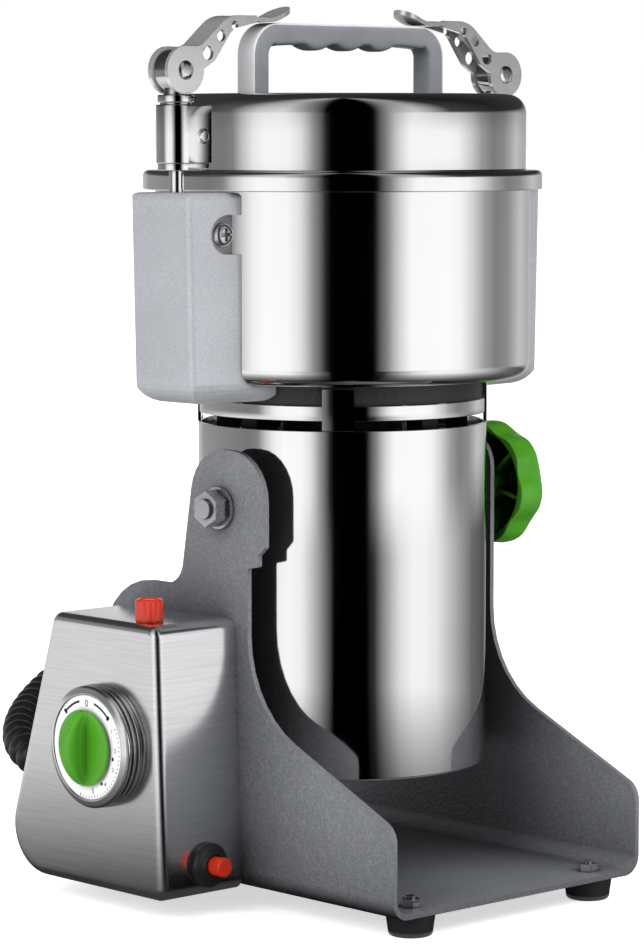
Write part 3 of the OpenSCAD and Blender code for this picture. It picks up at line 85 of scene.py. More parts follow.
@dataclass
class Patch:
    """A grid of points, rows along the first parameter and columns along the second.

    Attributes:
        points: The grid, as an array of rows, columns and three coordinates in millimetres.
        wrap_rows: Whether the last row joins the first.
        wrap_columns: Whether the last column joins the first.
    """

    points: np.ndarray
    wrap_rows: bool = False
    wrap_columns: bool = True

    def faces(self, first: int) -> np.ndarray:
        """Four-sided faces between neighbouring points.

        Args:
            first: The index of the grid's first point in the whole mesh.

        Returns:
            An array of faces with four indices each.
        """
        rows, columns = self.points.shape[:2]
        row, column = np.meshgrid(
            np.arange(rows if self.wrap_rows else rows - 1),
            np.arange(columns if self.wrap_columns else columns - 1),
            indexing="ij",
        )
        next_row, next_column = (row + 1) % rows, (column + 1) % columns
        corners = [
            row * columns + column,
            row * columns + next_column,
            next_row * columns + next_column,
            next_row * columns + column,
        ]
        return np.stack(corners, -1).reshape(-1, 4) + first


@dataclass(frozen=True)
class Place:
    """A local frame.

    Attributes:
        origin: Its origin in millimetres.
        x: The direction of its X.
        y: The direction of its Y.
        z: The direction of its Z.
    """

    origin: tuple[float, float, float] = (0.0, 0.0, 0.0)
    x: tuple[float, float, float] = (1.0, 0.0, 0.0)
    y: tuple[float, float, float] = (0.0, 1.0, 0.0)
    z: tuple[float, float, float] = (0.0, 0.0, 1.0)

    def put(self, points: np.ndarray) -> np.ndarray:
        """Local points carried into the mill's frame."""
        return np.asarray(self.origin) + points @ np.array([self.x, self.y, self.z])


def rounded(corners: Sequence[Corner], closed: bool = False, steps: int = 8) -> np.ndarray:
    """A polyline whose corners are circular arcs.

    Each corner with a radius becomes the arc that touches both of its edges: its centre lies on the
    bisector at radius / sin(half the corner's angle).

    Args:
        corners: Corners as two coordinates and a radius, 0 for a sharp one.
        closed: Whether the line closes on itself.
        steps: Points along each arc, less one.

    Returns:
        An array of points with two coordinates.
    """
    spots = np.array([c[:2] for c in corners], float)
    runs = []
    for i, (_, _, radius) in enumerate(corners):
        inner = closed or 0 < i < len(corners) - 1
        if radius <= 0 or not inner:
            runs.append(spots[i : i + 1])
            continue
        here = spots[i]
        back = spots[i - 1] - here
        ahead = spots[(i + 1) % len(corners)] - here
        back, ahead = back / np.linalg.norm(back), ahead / np.linalg.norm(ahead)
        half = math.acos(float(np.clip(back @ ahead, -1, 1))) / 2
        bisector = (back + ahead) / np.linalg.norm(back + ahead)
        centre = here + bisector * radius / math.sin(half)
        first = here + back * radius / math.tan(half) - centre
        last = here + ahead * radius / math.tan(half) - centre
        start = math.atan2(first[1], first[0])
        turn = (math.atan2(last[1], last[0]) - start + math.pi) % (2 * math.pi) - math.pi
        angle = start + turn * np.linspace(0, 1, steps + 1)
        runs.append(centre + radius * np.stack([np.cos(angle), np.sin(angle)], -1))
    return np.concatenate(runs)


def spaced(line: np.ndarray, longest: float) -> np.ndarray:
    """A polyline with points added along its edges, so that no edge is over a length.

    Args:
        line: The polyline's points.
        longest: The longest edge to leave.

    Returns:
        The denser polyline.
    """
    edges = np.linalg.norm(np.diff(line, axis=0), axis=1)
    counts = np.maximum(1, np.ceil(edges / longest)).astype(int)
    marks = np.concatenate([i + np.arange(n) / n for i, n in enumerate(counts)] + [[len(line) - 1]])
    index = np.arange(len(line))
    return np.stack([np.interp(marks, index, line[:, k]) for k in range(line.shape[1])], -1)


def lathe(profile: np.ndarray, place: Place = Place(), sides: int = 128, closed: bool = False) -> Patch:
    """A turned surface: the point (r, h) of the profile goes to (r cos a, r sin a, h) for every angle a.

    Args:
        profile: Points of radius and height.
        place: The frame whose Z is the turning axis.
        sides: Points round the axis.
        closed: Whether the profile closes on itself.

    Returns:
        The grid of the surface.
    """
    angle = np.linspace(0, 2 * math.pi, sides, endpoint=False)
    radius, height = profile[:, :1], profile[:, 1:]
    grid = np.stack([radius * np.cos(angle), radius * np.sin(angle), height + 0 * angle], -1)
    return Patch(place.put(grid), wrap_rows=closed)


def inset(outline: np.ndarray, depth: float) -> np.ndarray:
    """A closed outline moved inwards by a depth, each point along the mean of its two edges' normals.

    Args:
        outline: Points in order round a convex shape.
        depth: How far to move in.

    Returns:
        The moved points.
    """
    along = np.roll(outline, -1, 0) - np.roll(outline, 1, 0)
    along /= np.linalg.norm(along, axis=1, keepdims=True) + 1e-12
    ahead = np.roll(outline, -1, 0)
    area = np.sum(outline[:, 0] * ahead[:, 1] - ahead[:, 0] * outline[:, 1])
    inward = np.stack([-along[:, 1], along[:, 0]], -1) * (1 if area > 0 else -1)
    return outline + inward * depth


def soft_prism(
    outline: np.ndarray,
    low: float,
    high: float,
    low_round: float,
    high_round: float,
    place: Place = Place(),
    steps: int = 6,
) -> Patch:
    """A convex prism with quarter-round rims: at angle t a rim is in by r (1 - cos t) and up by r sin t.

    Args:
        outline: The plan, as a closed convex outline.
        low: Where the prism starts along the frame's Z.
        high: Where it ends.
        low_round: Radius of the lower rim.
        high_round: Radius of the upper rim.
        place: The frame that the prism stands in.
        steps: Steps round each rim.

    Returns:
        The grid, closed by a pole at either end.
    """
    turn = np.linspace(0, math.pi / 2, steps + 1)
    from_side, from_edge = 1 - np.sin(turn), 1 - np.cos(turn)
    insets = np.concatenate([low_round * from_side, high_round * from_edge])
    heights = np.concatenate([low + low_round * from_edge, high - high_round * from_side])
    centre = (outline.min(0) + outline.max(0)) / 2
    rings = [
        np.column_stack([inset(outline, depth), np.full(len(outline), height)])
        for depth, height in zip(insets, heights)
    ]
    poles = [np.tile([*centre, h], (len(outline), 1)) for h in (low, high)]
    middles = [(pole + ring) / 2 for pole, ring in zip(poles, (rings[0], rings[-1]))]
    rows = [poles[0], middles[0], *rings, middles[1], poles[1]]
    return Patch(place.put(np.stack(rows)))


def tube(path: np.ndarray, section: np.ndarray, side: np.ndarray, ends: bool = True) -> Patch:
    """A section carried along a path, square to it everywhere.

    The section's first coordinate lies along the side direction, freed of its part along the path, and
    its second along the cross product of path and side.

    Args:
        path: Points of the path.
        section: Either one closed section or one for every point of the path.
        side: The direction of the section's first coordinate.
        ends: Whether each end is closed by a pole.

    Returns:
        The grid of the surface.
    """
    run = np.gradient(path, axis=0)
    run /= np.linalg.norm(run, axis=1, keepdims=True)
    across = side - run * (run @ side)[:, None]
    across /= np.linalg.norm(across, axis=1, keepdims=True)
    up = np.cross(run, across)
    shapes = np.broadcast_to(section, (len(path), *section.shape[-2:]))
    grid = path[:, None] + shapes[..., :1] * across[:, None] + shapes[..., 1:] * up[:, None]
    if ends:
        grid = np.concatenate([grid[:1] * 0 + path[0], grid, grid[:1] * 0 + path[-1]])
    return Patch(grid)


def super_section(width: float, height: float, power: float = 4.0, count: int = 48) -> np.ndarray:
    """A rounded rectangle: x = w/2 sgn(cos a) |cos a|^(2/p), y = h/2 sgn(sin a) |sin a|^(2/p).

    Args:
        width: Its whole width w.
        height: Its whole height h.
        power: The power p, 2 for an ellipse and more for squarer corners.
        count: The number of points.

    Returns:
        Its points.
    """
    a = np.linspace(0, 2 * math.pi, count, endpoint=False)
    c, s = np.cos(a), np.sin(a)
    bend = 2 / power
    across = width / 2 * np.sign(c) * np.abs(c) ** bend
    upwards = height / 2 * np.sign(s) * np.abs(s) ** bend
    return np.stack([across, upwards], -1)


def bent_bar(section: np.ndarray, turn: np.ndarray) -> Patch:
    """A closed section bent round the axis: the point (r, h) goes to (r cos a, r sin a, h) at each angle a.

    Args:
        section: Points of radius and height round the bar.
        turn: The angles that the bar runs through, in radians.

    Returns:
        The grid, closed by a pole at either end.
    """
    radius, height = section[:, 0], section[:, 1]
    angle = turn[:, None]
    grid = np.stack([radius * np.cos(angle), radius * np.sin(angle), height + 0 * angle], -1)
    ends = [np.tile(ring.mean(0), (len(section), 1))[None] for ring in (grid[0], grid[-1])]
    return Patch(np.concatenate([ends[0], grid, ends[1]]))


def polar_mark(
    radii: tuple[float, float],
    angles: tuple[float, float],
    heights: tuple[float, float],
    step: float = 3.0,
) -> Patch:
    """A flat mark bent round a centre, closed all round.

    Args:
        radii: Its inner and outer radius.
        angles: The angles in degrees where it starts and ends.
        heights: Its underside and top.
        step: The largest turn between two of its rings, in degrees.

    Returns:
        The grid of the mark.
    """
    (inner, outer), (low, high) = radii, heights
    rings = int(abs(angles[1] - angles[0]) / step) + 2
    section = np.array([[inner, low], [outer, low], [outer, high], [inner, high]])
    return bent_bar(section, np.radians(np.linspace(*angles, rings)))


def moved(patches: Sequence[Patch], place: Place) -> list[Patch]:
    """Patches carried from a local frame into the mill's frame."""
    return [Patch(place.put(p.points), p.wrap_rows, p.wrap_columns) for p in patches]


def mirrored(patches: Sequence[Patch]) -> list[Patch]:
    """Patches mirrored from the right-hand side of the mill to the left."""
    return [Patch(p.points * np.array([-1, 1, 1]), p.wrap_rows, p.wrap_columns) for p in patches]


# Finishes


class Sheet:
    """The node sheet of one material, with one Principled shader on it."""

    def __init__(self, name: str) -> None:
        """Makes an empty sheet.

        Args:
            name: The material's name.
        """
        self.material = bpy.data.materials.new(name)
        self.material.use_nodes = True
        self.tree = self.material.node_tree
        self.shader = self.tree.nodes["Principled BSDF"]

    def node(self, kind: str, links: dict[str, Any] | None = None, **settings: Any) -> bpy.types.Node:
        """Adds a node.

        Args:
            kind: The node's type without its first word.
            links: Values or sockets for its inputs, by name or index.
            settings: Its own settings.

        Returns:
            The new node.
        """
        node = self.tree.nodes.new("ShaderNode" + kind)
        for key, value in settings.items():
            setattr(node, key, value)
        for key, value in (links or {}).items():
            self.feed(node.inputs[key], value)
        return node

    def feed(self, target: Socket, value: Any) -> None:
        """Joins a socket to an input, or sets the input to a value.

        Args:
            target: The input.
            value: The socket to join, or the value to set.
        """
        if isinstance(value, bpy.types.NodeSocket):
            self.tree.links.new(value, target)
        else:
            target.default_value = value

    def coords(self, scale: tuple[float, float, float] = (1, 1, 1)) -> Socket:
        """Object coordinates in metres, stretched by a scale on each axis."""
        source = self.node("TexCoord").outputs["Object"]
        return self.node("Mapping", {"Vector": source, "Scale": scale}).outputs[0]

    def noise(self, vector: Socket, scale: float, detail: float = 2.0) -> Socket:
        """A noise pattern over a vector, from 0 to 1."""
        return self.node("TexNoise", {"Vector": vector, "Scale": scale, "Detail": detail}).outputs[0]

    def cells(self, vector: Socket, scale: float) -> Socket:
        """Rounded cells over a vector, as distances from their centres."""
        links = {"Vector": vector, "Scale": scale, "Smoothness": 0.7}
        return self.node("TexVoronoi", links, feature="SMOOTH_F1").outputs["Distance"]

    def sum_of(self, first: Any, second: Any) -> Socket:
        """The sum of two numbers."""
        return self.node("Math", {0: first, 1: second}, operation="ADD").outputs[0]

    def product(self, first: Any, second: Any) -> Socket:
        """The product of two numbers."""
        return self.node("Math", {0: first, 1: second}, operation="MULTIPLY").outputs[0]

    def tinted(self, color: Socket, tint: Socket) -> Socket:
        """A colour multiplied by another."""
        links = {0: 1.0, 6: color, 7: tint}
        return self.node("Mix", links, data_type="RGBA", blend_type="MULTIPLY").outputs[2]

    def ramp(self, factor: Socket, stops: Stops) -> Socket:
        """Colours spread over a factor.

        Args:
            factor: A value from 0 to 1.
            stops: Positions and their colours of three numbers.

        Returns:
            The colour's socket.
        """
        node = self.node("ValToRGB", {"Fac": factor})
        band = node.color_ramp
        band.elements[0].position, band.elements[0].color = stops[0][0], (*stops[0][1], 1)
        band.elements[1].position, band.elements[1].color = stops[-1][0], (*stops[-1][1], 1)
        for position, color in stops[1:-1]:
            band.elements.new(position).color = (*color, 1)
        return node.outputs["Color"]

    def mapped(
        self, value: Socket, source: tuple[float, float], target: tuple[float, float] = (0.0, 1.0)
    ) -> Socket:
        """A value carried from one range into another, clamped at its ends.

        Args:
            value: The value.
            source: The range that it comes from.
            target: The range that it goes to.

        Returns:
            The carried value's socket.
        """
        links = {
            "Value": value,
            "From Min": source[0],
            "From Max": source[1],
            "To Min": target[0],
            "To Max": target[1],
        }
        return self.node("MapRange", links).outputs[0]

    def spread(self, factor: Socket, low: float, high: float) -> Socket:
        """A noise, which mostly lies between 0.3 and 0.7, carried into a range."""
        return self.mapped(factor, (0.3, 0.7), (low, high))

    def painted_recess_shade(self, color: Socket, reach: float, darkest: float) -> Socket:
        """A colour with painted shade: it darkens in grooves and recesses, where shade falls.

        Args:
            color: The open surface's colour.
            reach: How far a neighbouring surface counts, in metres.
            darkest: The share of the colour that is left under the painted shade in the deepest recess.

        Returns:
            The darkened colour's socket.
        """
        # Ambient occlusion drives the painted shade: the less open a place, the darker its colour.
        open_share = self.node("AmbientOcclusion", {"Distance": reach}, samples=8).outputs["AO"]
        middle = 0.4 * darkest + 0.6
        stops = [(0.2, grey(darkest)), (0.62, grey(middle)), (0.92, grey(1))]
        return self.tinted(color, self.ramp(open_share, stops))

    def relief(self, height: Socket, depth: float, edge: float, strength: float = 1.0) -> None:
        """Bumps the surface by a height over softened edges.

        Args:
            height: The relief's pattern.
            depth: Its depth in metres.
            edge: The radius of softened edges in metres, 0 for none.
            strength: How strongly the relief shows.
        """
        links: dict[str, Any] = {"Height": height, "Distance": depth, "Strength": strength}
        if edge > 0:
            links["Normal"] = self.node("Bevel", {"Radius": edge}, samples=4).outputs[0]
        self.feed(self.shader.inputs["Normal"], self.node("Bump", links).outputs[0])

    def set(self, **values: Any) -> None:
        """Sets the shader's own sockets, with underscores for the blanks in their names."""
        for key, value in values.items():
            self.feed(self.shader.inputs[key.replace("_", " ")], value)

    def surface(self, shader: Socket) -> None:
        """Gives the material a shader of its own in place of the plain one."""
        self.feed(self.tree.nodes["Material Output"].inputs["Surface"], shader)


def grey(level: float) -> tuple[float, float, float]:
    """A neutral colour of one level."""
    return (level, level, level)


def shade(color: Sequence[float], factor: float) -> tuple[float, float, float]:
    """A colour made lighter or darker by a factor, capped at 1."""
    return tuple(min(1.0, c * factor) for c in color)


@dataclass(frozen=True)
class Finish(ABC):
    """A finish that can be made into a material.

    Attributes:
        name: The material's name.
        color: Its main colour, in linear numbers.
        slot: The record's material slot that it belongs to; not used.
        edge: Radius of softened edges in metres.
    """

    name: str
    color: tuple[float, float, float]
    slot: str
    edge: float = 0.0

    @abstractmethod
    def draw(self, sheet: Sheet) -> None:
        """Draws the finish on a node sheet."""

    def material(self) -> bpy.types.Material:
        """The finish's material, made on first use.

        Returns:
            The material.
        """
        known = bpy.data.materials.get(self.name)
        if known:
            return known
        sheet = Sheet(self.name)
        self.draw(sheet)
        return sheet.material


@dataclass(frozen=True)
class Hammertone(Finish):
    """Baked hammer-finish paint: fine beads of metallic grey over a pebbled skin, with painted shade in
    recesses.

    Attributes:
        grain: Beads per metre, as the noise counts them.
        depth: The skin's relief in metres.
        rough: Roughness on the beads' crowns.
        contrast: How much the beads differ in tone.
        reach: How far a neighbouring surface casts painted shade on the paint, in metres.
        darkest: The share of the colour left under the painted shade in the deepest recess.
    """

    grain: float = 900.0
    depth: float = 0.00022
    rough: float = 0.42
    contrast: float = 1.0
    reach: float = 0.06
    darkest: float = 0.08

    def draw(self, sheet: Sheet) -> None:
        """Beads from smooth cells and noise, lighter on their crowns, with slow drifts of tone and painted
        shade in recesses.

        Args:
            sheet: The material's sheet.
        """
        here = sheet.coords()
        beads = sheet.noise(here, self.grain, 3.0)
        drift = sheet.noise(here, 28.0, 2.0)
        hollow = shade(self.color, 1 - 0.18 * self.contrast)
        crown = shade(self.color, 1 + 0.28 * self.contrast)
        tone = sheet.ramp(beads, [(0.30, hollow), (0.52, self.color), (0.72, crown)])
        drifted = sheet.tinted(tone, sheet.ramp(drift, [(0.3, grey(0.9)), (0.7, grey(1))]))
        sheet.set(
            Base_Color=sheet.painted_recess_shade(drifted, self.reach, self.darkest),
            Metallic=0.35,
            Roughness=sheet.spread(beads, self.rough, self.rough + 0.16),
            Specular_IOR_Level=0.6,
        )
        pits = sheet.cells(here, self.grain * 0.62)
        sheet.relief(sheet.sum_of(pits, beads), self.depth, self.edge, 0.7)


@dataclass(frozen=True)
class MirrorSteel(Finish):
    """Polished stainless sheet with the faint rings that turning and buffing leave.

    Attributes:
        rough: The mean roughness.
    """

    rough: float = 0.07

    def draw(self, sheet: Sheet) -> None:
        """Hairlines that run round the axis, faint smears in the roughness and a slight warm drift.

        Args:
            sheet: The material's sheet.
        """
        lines = sheet.noise(sheet.coords((18, 18, 5200)), 1.0, 2.0)
        smear = sheet.noise(sheet.coords((9, 9, 14)), 1.0, 3.0)
        sheet.set(
            Base_Color=sheet.ramp(smear, [(0.3, shade(self.color, 0.965)), (0.7, self.color)]),
            Metallic=1.0,
            Roughness=sheet.spread(smear, self.rough * 0.8, self.rough * 1.35),
        )
        sheet.relief(lines, 0.0000016, self.edge, 0.5)


@dataclass(frozen=True)
class SatinSteel(Finish):
    """Brushed stainless sheet, with fine scratches along one axis.

    Attributes:
        scratch: How often the scratches change along X, Y and Z.
        rough: The mean roughness.
    """

    scratch: tuple[float, float, float] = (30, 30, 3800)
    rough: float = 0.3

    def draw(self, sheet: Sheet) -> None:
        """Scratches drawn out along the brushing, in tone, roughness and relief, over slow smears.

        Args:
            sheet: The material's sheet.
        """
        lines = sheet.noise(sheet.coords(self.scratch), 1.0, 4.0)
        smear = sheet.noise(sheet.coords((16, 16, 16)), 1.0, 2.0)
        sheet.set(
            Base_Color=sheet.ramp(lines, [(0.3, shade(self.color, 0.93)), (0.7, shade(self.color, 1.05))]),
            Metallic=1.0,
            Roughness=sheet.spread(smear, self.rough * 0.9, self.rough * 1.15),
        )
        sheet.relief(lines, 0.000006, self.edge, 0.6)


@dataclass(frozen=True)
class PlatedMetal(Finish):
    """Bright plating on pressed or cast fasteners, lightly mottled, with painted shade in recesses.

    Attributes:
        rough: The mean roughness.
        mottle: How much darker the mottling is.
        metal: How metallic the plating is.
        reach: How far a neighbouring surface casts painted shade on it, in metres.
        darkest: The share of the colour left under the painted shade in the deepest recess.
    """

    rough: float = 0.22
    mottle: float = 0.18
    metal: float = 1.0
    reach: float = 0.0015
    darkest: float = 0.15

    def draw(self, sheet: Sheet) -> None:
        """Mottling in tone and roughness, painted shade in recesses, and a fine orange-peel relief.

        Args:
            sheet: The material's sheet.
        """
        here = sheet.coords()
        mottle = sheet.noise(here, 420.0, 3.0)
        peel = sheet.noise(here, 1500.0, 2.0)
        tone = sheet.ramp(mottle, [(0.3, shade(self.color, 1 - self.mottle)), (0.7, self.color)])
        sheet.set(
            Base_Color=sheet.painted_recess_shade(tone, self.reach, self.darkest),
            Metallic=self.metal,
            Roughness=sheet.spread(mottle, self.rough * 0.75, self.rough * 1.4),
        )
        sheet.relief(peel, 0.000012 * self.rough / 0.22, self.edge, 0.5)


@dataclass(frozen=True)
class Plastic(Finish):
    """Moulded plastic with a fine skin, a little drift of tone and painted shade in recesses.

    Attributes:
        rough: The mean roughness.
        grain: The skin's grain.
        depth: The grain's relief in metres.
        glow: How much light passes through.
        soft: How much light spreads under the skin.
        reach: How far a neighbouring surface casts painted shade on it, in metres.
        darkest: The share of the colour left under the painted shade in the deepest recess.
    """

    rough: float = 0.3
    grain: float = 2600.0
    depth: float = 0.00002
    glow: float = 0.0
    soft: float = 0.0
    reach: float = 0.002
    darkest: float = 0.5

    def draw(self, sheet: Sheet) -> None:
        """Skin grain in relief and roughness, tone that drifts by a few per cent, and painted shade in
        recesses.

        Args:
            sheet: The material's sheet.
        """
        here = sheet.coords()
        skin = sheet.noise(here, self.grain, 2.0)
        drift = sheet.noise(here, 60.0, 2.0)
        tone = sheet.ramp(drift, [(0.3, shade(self.color, 0.88)), (0.7, shade(self.color, 1.06))])
        sheet.set(
            Base_Color=sheet.painted_recess_shade(tone, self.reach, self.darkest),
            Roughness=sheet.spread(skin, self.rough * 0.85, self.rough * 1.2),
            Transmission_Weight=self.glow,
            Subsurface_Weight=self.soft,
            Subsurface_Radius=(0.004, 0.002, 0.001),
            Subsurface_Scale=0.5,
        )
        sheet.relief(skin, self.depth, self.edge, 0.6)


@dataclass(frozen=True)
class Windings(Finish):
    """Wires or stacked sheets laid side by side along one axis.

    Attributes:
        pitch: The spacing of the wires in metres.
        metal: How metallic they are.
    """

    pitch: float = 0.0009
    metal: float = 1.0

    def draw(self, sheet: Sheet) -> None:
        """Ribs at the wires' pitch along Z, with uneven tone from wire to wire.

        Args:
            sheet: The material's sheet.
        """
        here = sheet.coords()
        links = {"Vector": here, "Scale": 0.314 / self.pitch, "Distortion": 0.4, "Detail": 1.0}
        waves = sheet.node("TexWave", links, bands_direction="Z").outputs["Fac"]
        patchy = sheet.noise(sheet.coords((40, 40, 900)), 1.0, 2.0)
        sheet.set(
            Base_Color=sheet.ramp(patchy, [(0.3, shade(self.color, 0.6)), (0.7, shade(self.color, 1.15))]),
            Metallic=self.metal,
            Roughness=sheet.spread(patchy, 0.3, 0.5),
        )
        sheet.relief(waves, self.pitch * 0.3, self.edge, 0.8)


# Painted shade darkens the base paint on the cheeks' inner faces beside the motor tube.
BASE_PAINT = Hammertone(
    "paint_base", (0.232, 0.240, 0.258), "base_grey", edge=0.0005, grain=1000.0, rough=0.44
)
# Painted shade darkens the casting paint round its screw pockets.
CAST_PAINT = Hammertone(
    "paint_casting",
    (0.475, 0.488, 0.52),
    "cast_grey",
    edge=0.0006,
    grain=1400.0,
    depth=0.00008,
    rough=0.36,
    contrast=0.6,
    reach=0.008,
    darkest=0.4,
)
DARK_CASTING = Hammertone("iron_casting", (0.05, 0.05, 0.055), "motor_iron", edge=0.0004, grain=700.0)
SHELL_STEEL = MirrorSteel("steel_shell", (0.93, 0.93, 0.935), "mirror_steel")
BOX_STEEL = SatinSteel("steel_box", (0.86, 0.86, 0.875), "satin_steel", scratch=(40, 40, 1800), rough=0.2)
BLADE_STEEL = SatinSteel(
    "steel_blade", (0.74, 0.74, 0.75), "satin_steel", edge=0.0003, scratch=(700, 3000, 700)
)
# Painted shade darkens the bezel's grooves.
BEZEL_CHROME = PlatedMetal("chrome_bezel", (0.88, 0.88, 0.89), "bright_metal", rough=0.09, mottle=0.05)
CLAMP_CHROME = PlatedMetal(
    "chrome_clamp", (0.90, 0.90, 0.91), "bright_metal", edge=0.00025, rough=0.06, mottle=0.04
)
# Painted shade darkens the levers inside their holes and between their flanks.
CLAMP_NICKEL = PlatedMetal(
    "nickel_lever",
    (0.90, 0.90, 0.905),
    "bright_metal",
    rough=0.13,
    mottle=0.05,
    metal=0.8,
    reach=0.009,
    darkest=0.12,
)
# Painted shade turns the screw slots and the rings round the heads nearly black.
ZINC = PlatedMetal(
    "zinc_fastener", (0.74, 0.74, 0.76), "zinc_steel", edge=0.0003, rough=0.24, reach=0.0022, darkest=0.03
)
RAW_CASTING = PlatedMetal("alloy_casting", (0.55, 0.55, 0.56), "cast_alloy", edge=0.0004, rough=0.5)
IRON_STACK = Windings("iron_stack", (0.16, 0.16, 0.17), "motor_iron", pitch=0.0005, metal=0.9)
COPPER = Windings("copper_wire", (0.62, 0.28, 0.13), "copper_wire", pitch=0.0008)
# Painted shade darkens the green knobs beside their grips and inside their cups.
GREEN = Plastic(
    "plastic_green",
    (0.066, 0.30, 0.013),
    "green_plastic",
    edge=0.0004,
    rough=0.24,
    soft=0.03,
    reach=0.02,
    darkest=0.06,
)
# Painted shade draws a dark line where the light band meets the bar.
HANDLE_GREY = Plastic(
    "plastic_handle", (0.23, 0.24, 0.26), "grey_plastic", rough=0.42, grain=1800.0, depth=0.00004
)
HANDLE_LIGHT = Plastic(
    "plastic_band", (0.72, 0.725, 0.74), "grey_plastic", rough=0.36, grain=1800.0, depth=0.00003
)
BLACK = Plastic("plastic_black", (0.012, 0.012, 0.013), "black_plastic", edge=0.0004, rough=0.34)
HOSE_BLACK = Plastic("plastic_hose", (0.010, 0.010, 0.011), "black_plastic", rough=0.3)
RUBBER = Plastic(
    "rubber_black",
    (0.014, 0.014, 0.014),
    "black_rubber",
    edge=0.0005,
    rough=0.62,
    grain=1500.0,
    depth=0.00006,
)
SILICONE = Plastic("rubber_white", (0.72, 0.72, 0.70), "white_seal", edge=0.0003, rough=0.5, soft=0.1)
DIAL_WHITE = Plastic(
    "dial_white", (0.82, 0.83, 0.85), "white_dial", rough=0.28, grain=4000.0, depth=0.000006
)
DIAL_INK = Plastic("dial_ink", (0.008, 0.008, 0.010), "black_plastic", rough=0.4)
LAMP_LENS = Plastic("lamp_lens", (0.56, 0.04, 0.018), "lamp_red", rough=0.1, glow=0.25, soft=0.2)
BUTTON_RED = Plastic(
    "plastic_button", (0.45, 0.022, 0.006), "button_red", edge=0.0003, rough=0.26, soft=0.1
)

# Which finish each CAD node has
NODE_FINISHES: dict[str, Finish] = {
    "base_bracket": BASE_PAINT,
    "rubber_feet": RUBBER,
    "foot_screws": ZINC,
    "foot_nuts": ZINC,
    "control_box": BOX_STEEL,
    "box_screws": ZINC,
    "timer_body": RAW_CASTING,
    "timer_bezel": BEZEL_CHROME,
    "dial_plate": DIAL_WHITE,
    "timer_knob": GREEN,
    "timer_shaft": ZINC,
    "pilot_lamp": LAMP_LENS,
    "reset_switch": BLACK,
    "reset_button": BUTTON_RED,
    "box_glands": BLACK,
    "conduit": HOSE_BLACK,
    "motor_gland": BLACK,
    "motor_tube": SHELL_STEEL,
    "bottom_cap": BLACK,
    "lower_end_frame": RAW_CASTING,
    "upper_end_frame": DARK_CASTING,
    "lower_bearing": ZINC,
    "upper_bearing": ZINC,
    "stator_core": IRON_STACK,
    "field_coils": COPPER,
    "brush_gear": COPPER,
    "neck_ring": SHELL_STEEL,
    "rotor_shaft": ZINC,
    "rotor_core": IRON_STACK,
    "commutator": COPPER,
    "cooling_fan": RAW_CASTING,
    "lower_blade": BLADE_STEEL,
    "upper_blade": BLADE_STEEL,
    "blade_spacer": BLADE_STEEL,
    "blade_nut": BLADE_STEEL,
    "shaft_seal": SILICONE,
    "pivot_bolt": ZINC,
    "pivot_spacer": ZINC,
    "pivot_washers": ZINC,
    "pivot_nut": ZINC,
    "lock_boss": ZINC,
    "lock_stud": ZINC,
    "lock_knob": GREEN,
    "bowl": SHELL_STEEL,
    "lid": SHELL_STEEL,
    "lid_seal": SILICONE,
    "lid_handle": HANDLE_GREY,
    "handle_screws": ZINC,
    "clamp_bracket_left": CAST_PAINT,
    "clamp_bracket_right": CAST_PAINT,
    "bracket_screws": ZINC,
    "clamp_post_left": CLAMP_CHROME,
    "clamp_block_left": CLAMP_CHROME,
    "clamp_pin_left": CLAMP_CHROME,
    "clamp_lever_left": CLAMP_NICKEL,
    "clamp_post_right": CLAMP_CHROME,
    "clamp_block_right": CLAMP_CHROME,
    "clamp_pin_right": CLAMP_CHROME,
    "clamp_lever_right": CLAMP_NICKEL,
}

# The nodes that polished steel shows no reflection of, as in the photograph
UNMIRRORED = ("clamp_bracket_left", "clamp_bracket_right", "clamp_lever_left", "clamp_lever_right")


# Pieces


@dataclass
class Piece:
    """A mesh piece made of patches, with its finish and the body it rides on.

    Attributes:
        name: The piece's name.
        patches: Its surfaces, in millimetres.
        finish: Its finish.
        body: The body it rides on, or none.
        stands_for: The CAD nodes that it replaces.
        crease: The angle in degrees over which an edge is sharp.
        mirrored: Whether polished steel shows its reflection.
    """

    name: str
    patches: Sequence[Patch]
    finish: Finish
    body: Body | None
    stands_for: Sequence[str] = ()
    crease: float = 34.0
    mirrored: bool = True

    def build(self) -> bpy.types.Object:
        """Makes the mesh, closes its seams and poles, and hands it to the frame.

        Returns:
            The new object.
        """
        mesh = bpy.data.meshes.new(self.name)
        firsts = np.cumsum([0] + [p.points.shape[0] * p.points.shape[1] for p in self.patches])
        points = np.concatenate([p.points.reshape(-1, 3) for p in self.patches]) * MM
        faces = np.concatenate([p.faces(int(f)) for p, f in zip(self.patches, firsts)])
        mesh.vertices.add(len(points))
        mesh.vertices.foreach_set("co", points.astype(np.float32).ravel())
        mesh.loops.add(faces.size)
        mesh.loops.foreach_set("vertex_index", faces.astype(np.int32).ravel())
        mesh.polygons.add(len(faces))
        mesh.polygons.foreach_set("loop_start", np.arange(0, faces.size, 4, dtype=np.int32))
        mesh.update(calc_edges=True)
        work = bmesh.new()
        work.from_mesh(mesh)
        bmesh.ops.remove_doubles(work, verts=work.verts, dist=2e-7)
        bmesh.ops.dissolve_degenerate(work, edges=work.edges, dist=1e-7)
        bmesh.ops.recalc_face_normals(work, faces=work.faces)
        work.to_mesh(mesh)
        work.free()
        mesh.shade_smooth()
        mesh.set_sharp_from_angle(angle=math.radians(self.crease))
        mesh.materials.append(self.finish.material())
        piece = bpy.data.objects.new(self.name, mesh)
        bpy.context.scene.collection.objects.link(piece)
        piece.visible_glossy = self.mirrored
        if self.body:
            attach(piece, self.body.value)
        if self.stands_for:
            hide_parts(*self.stands_for)
        nodes = ", ".join(self.stands_for) or "nothing"
        LOG.info("%s: %d faces, stands for %s", self.name, len(mesh.polygons), nodes)
        return piece


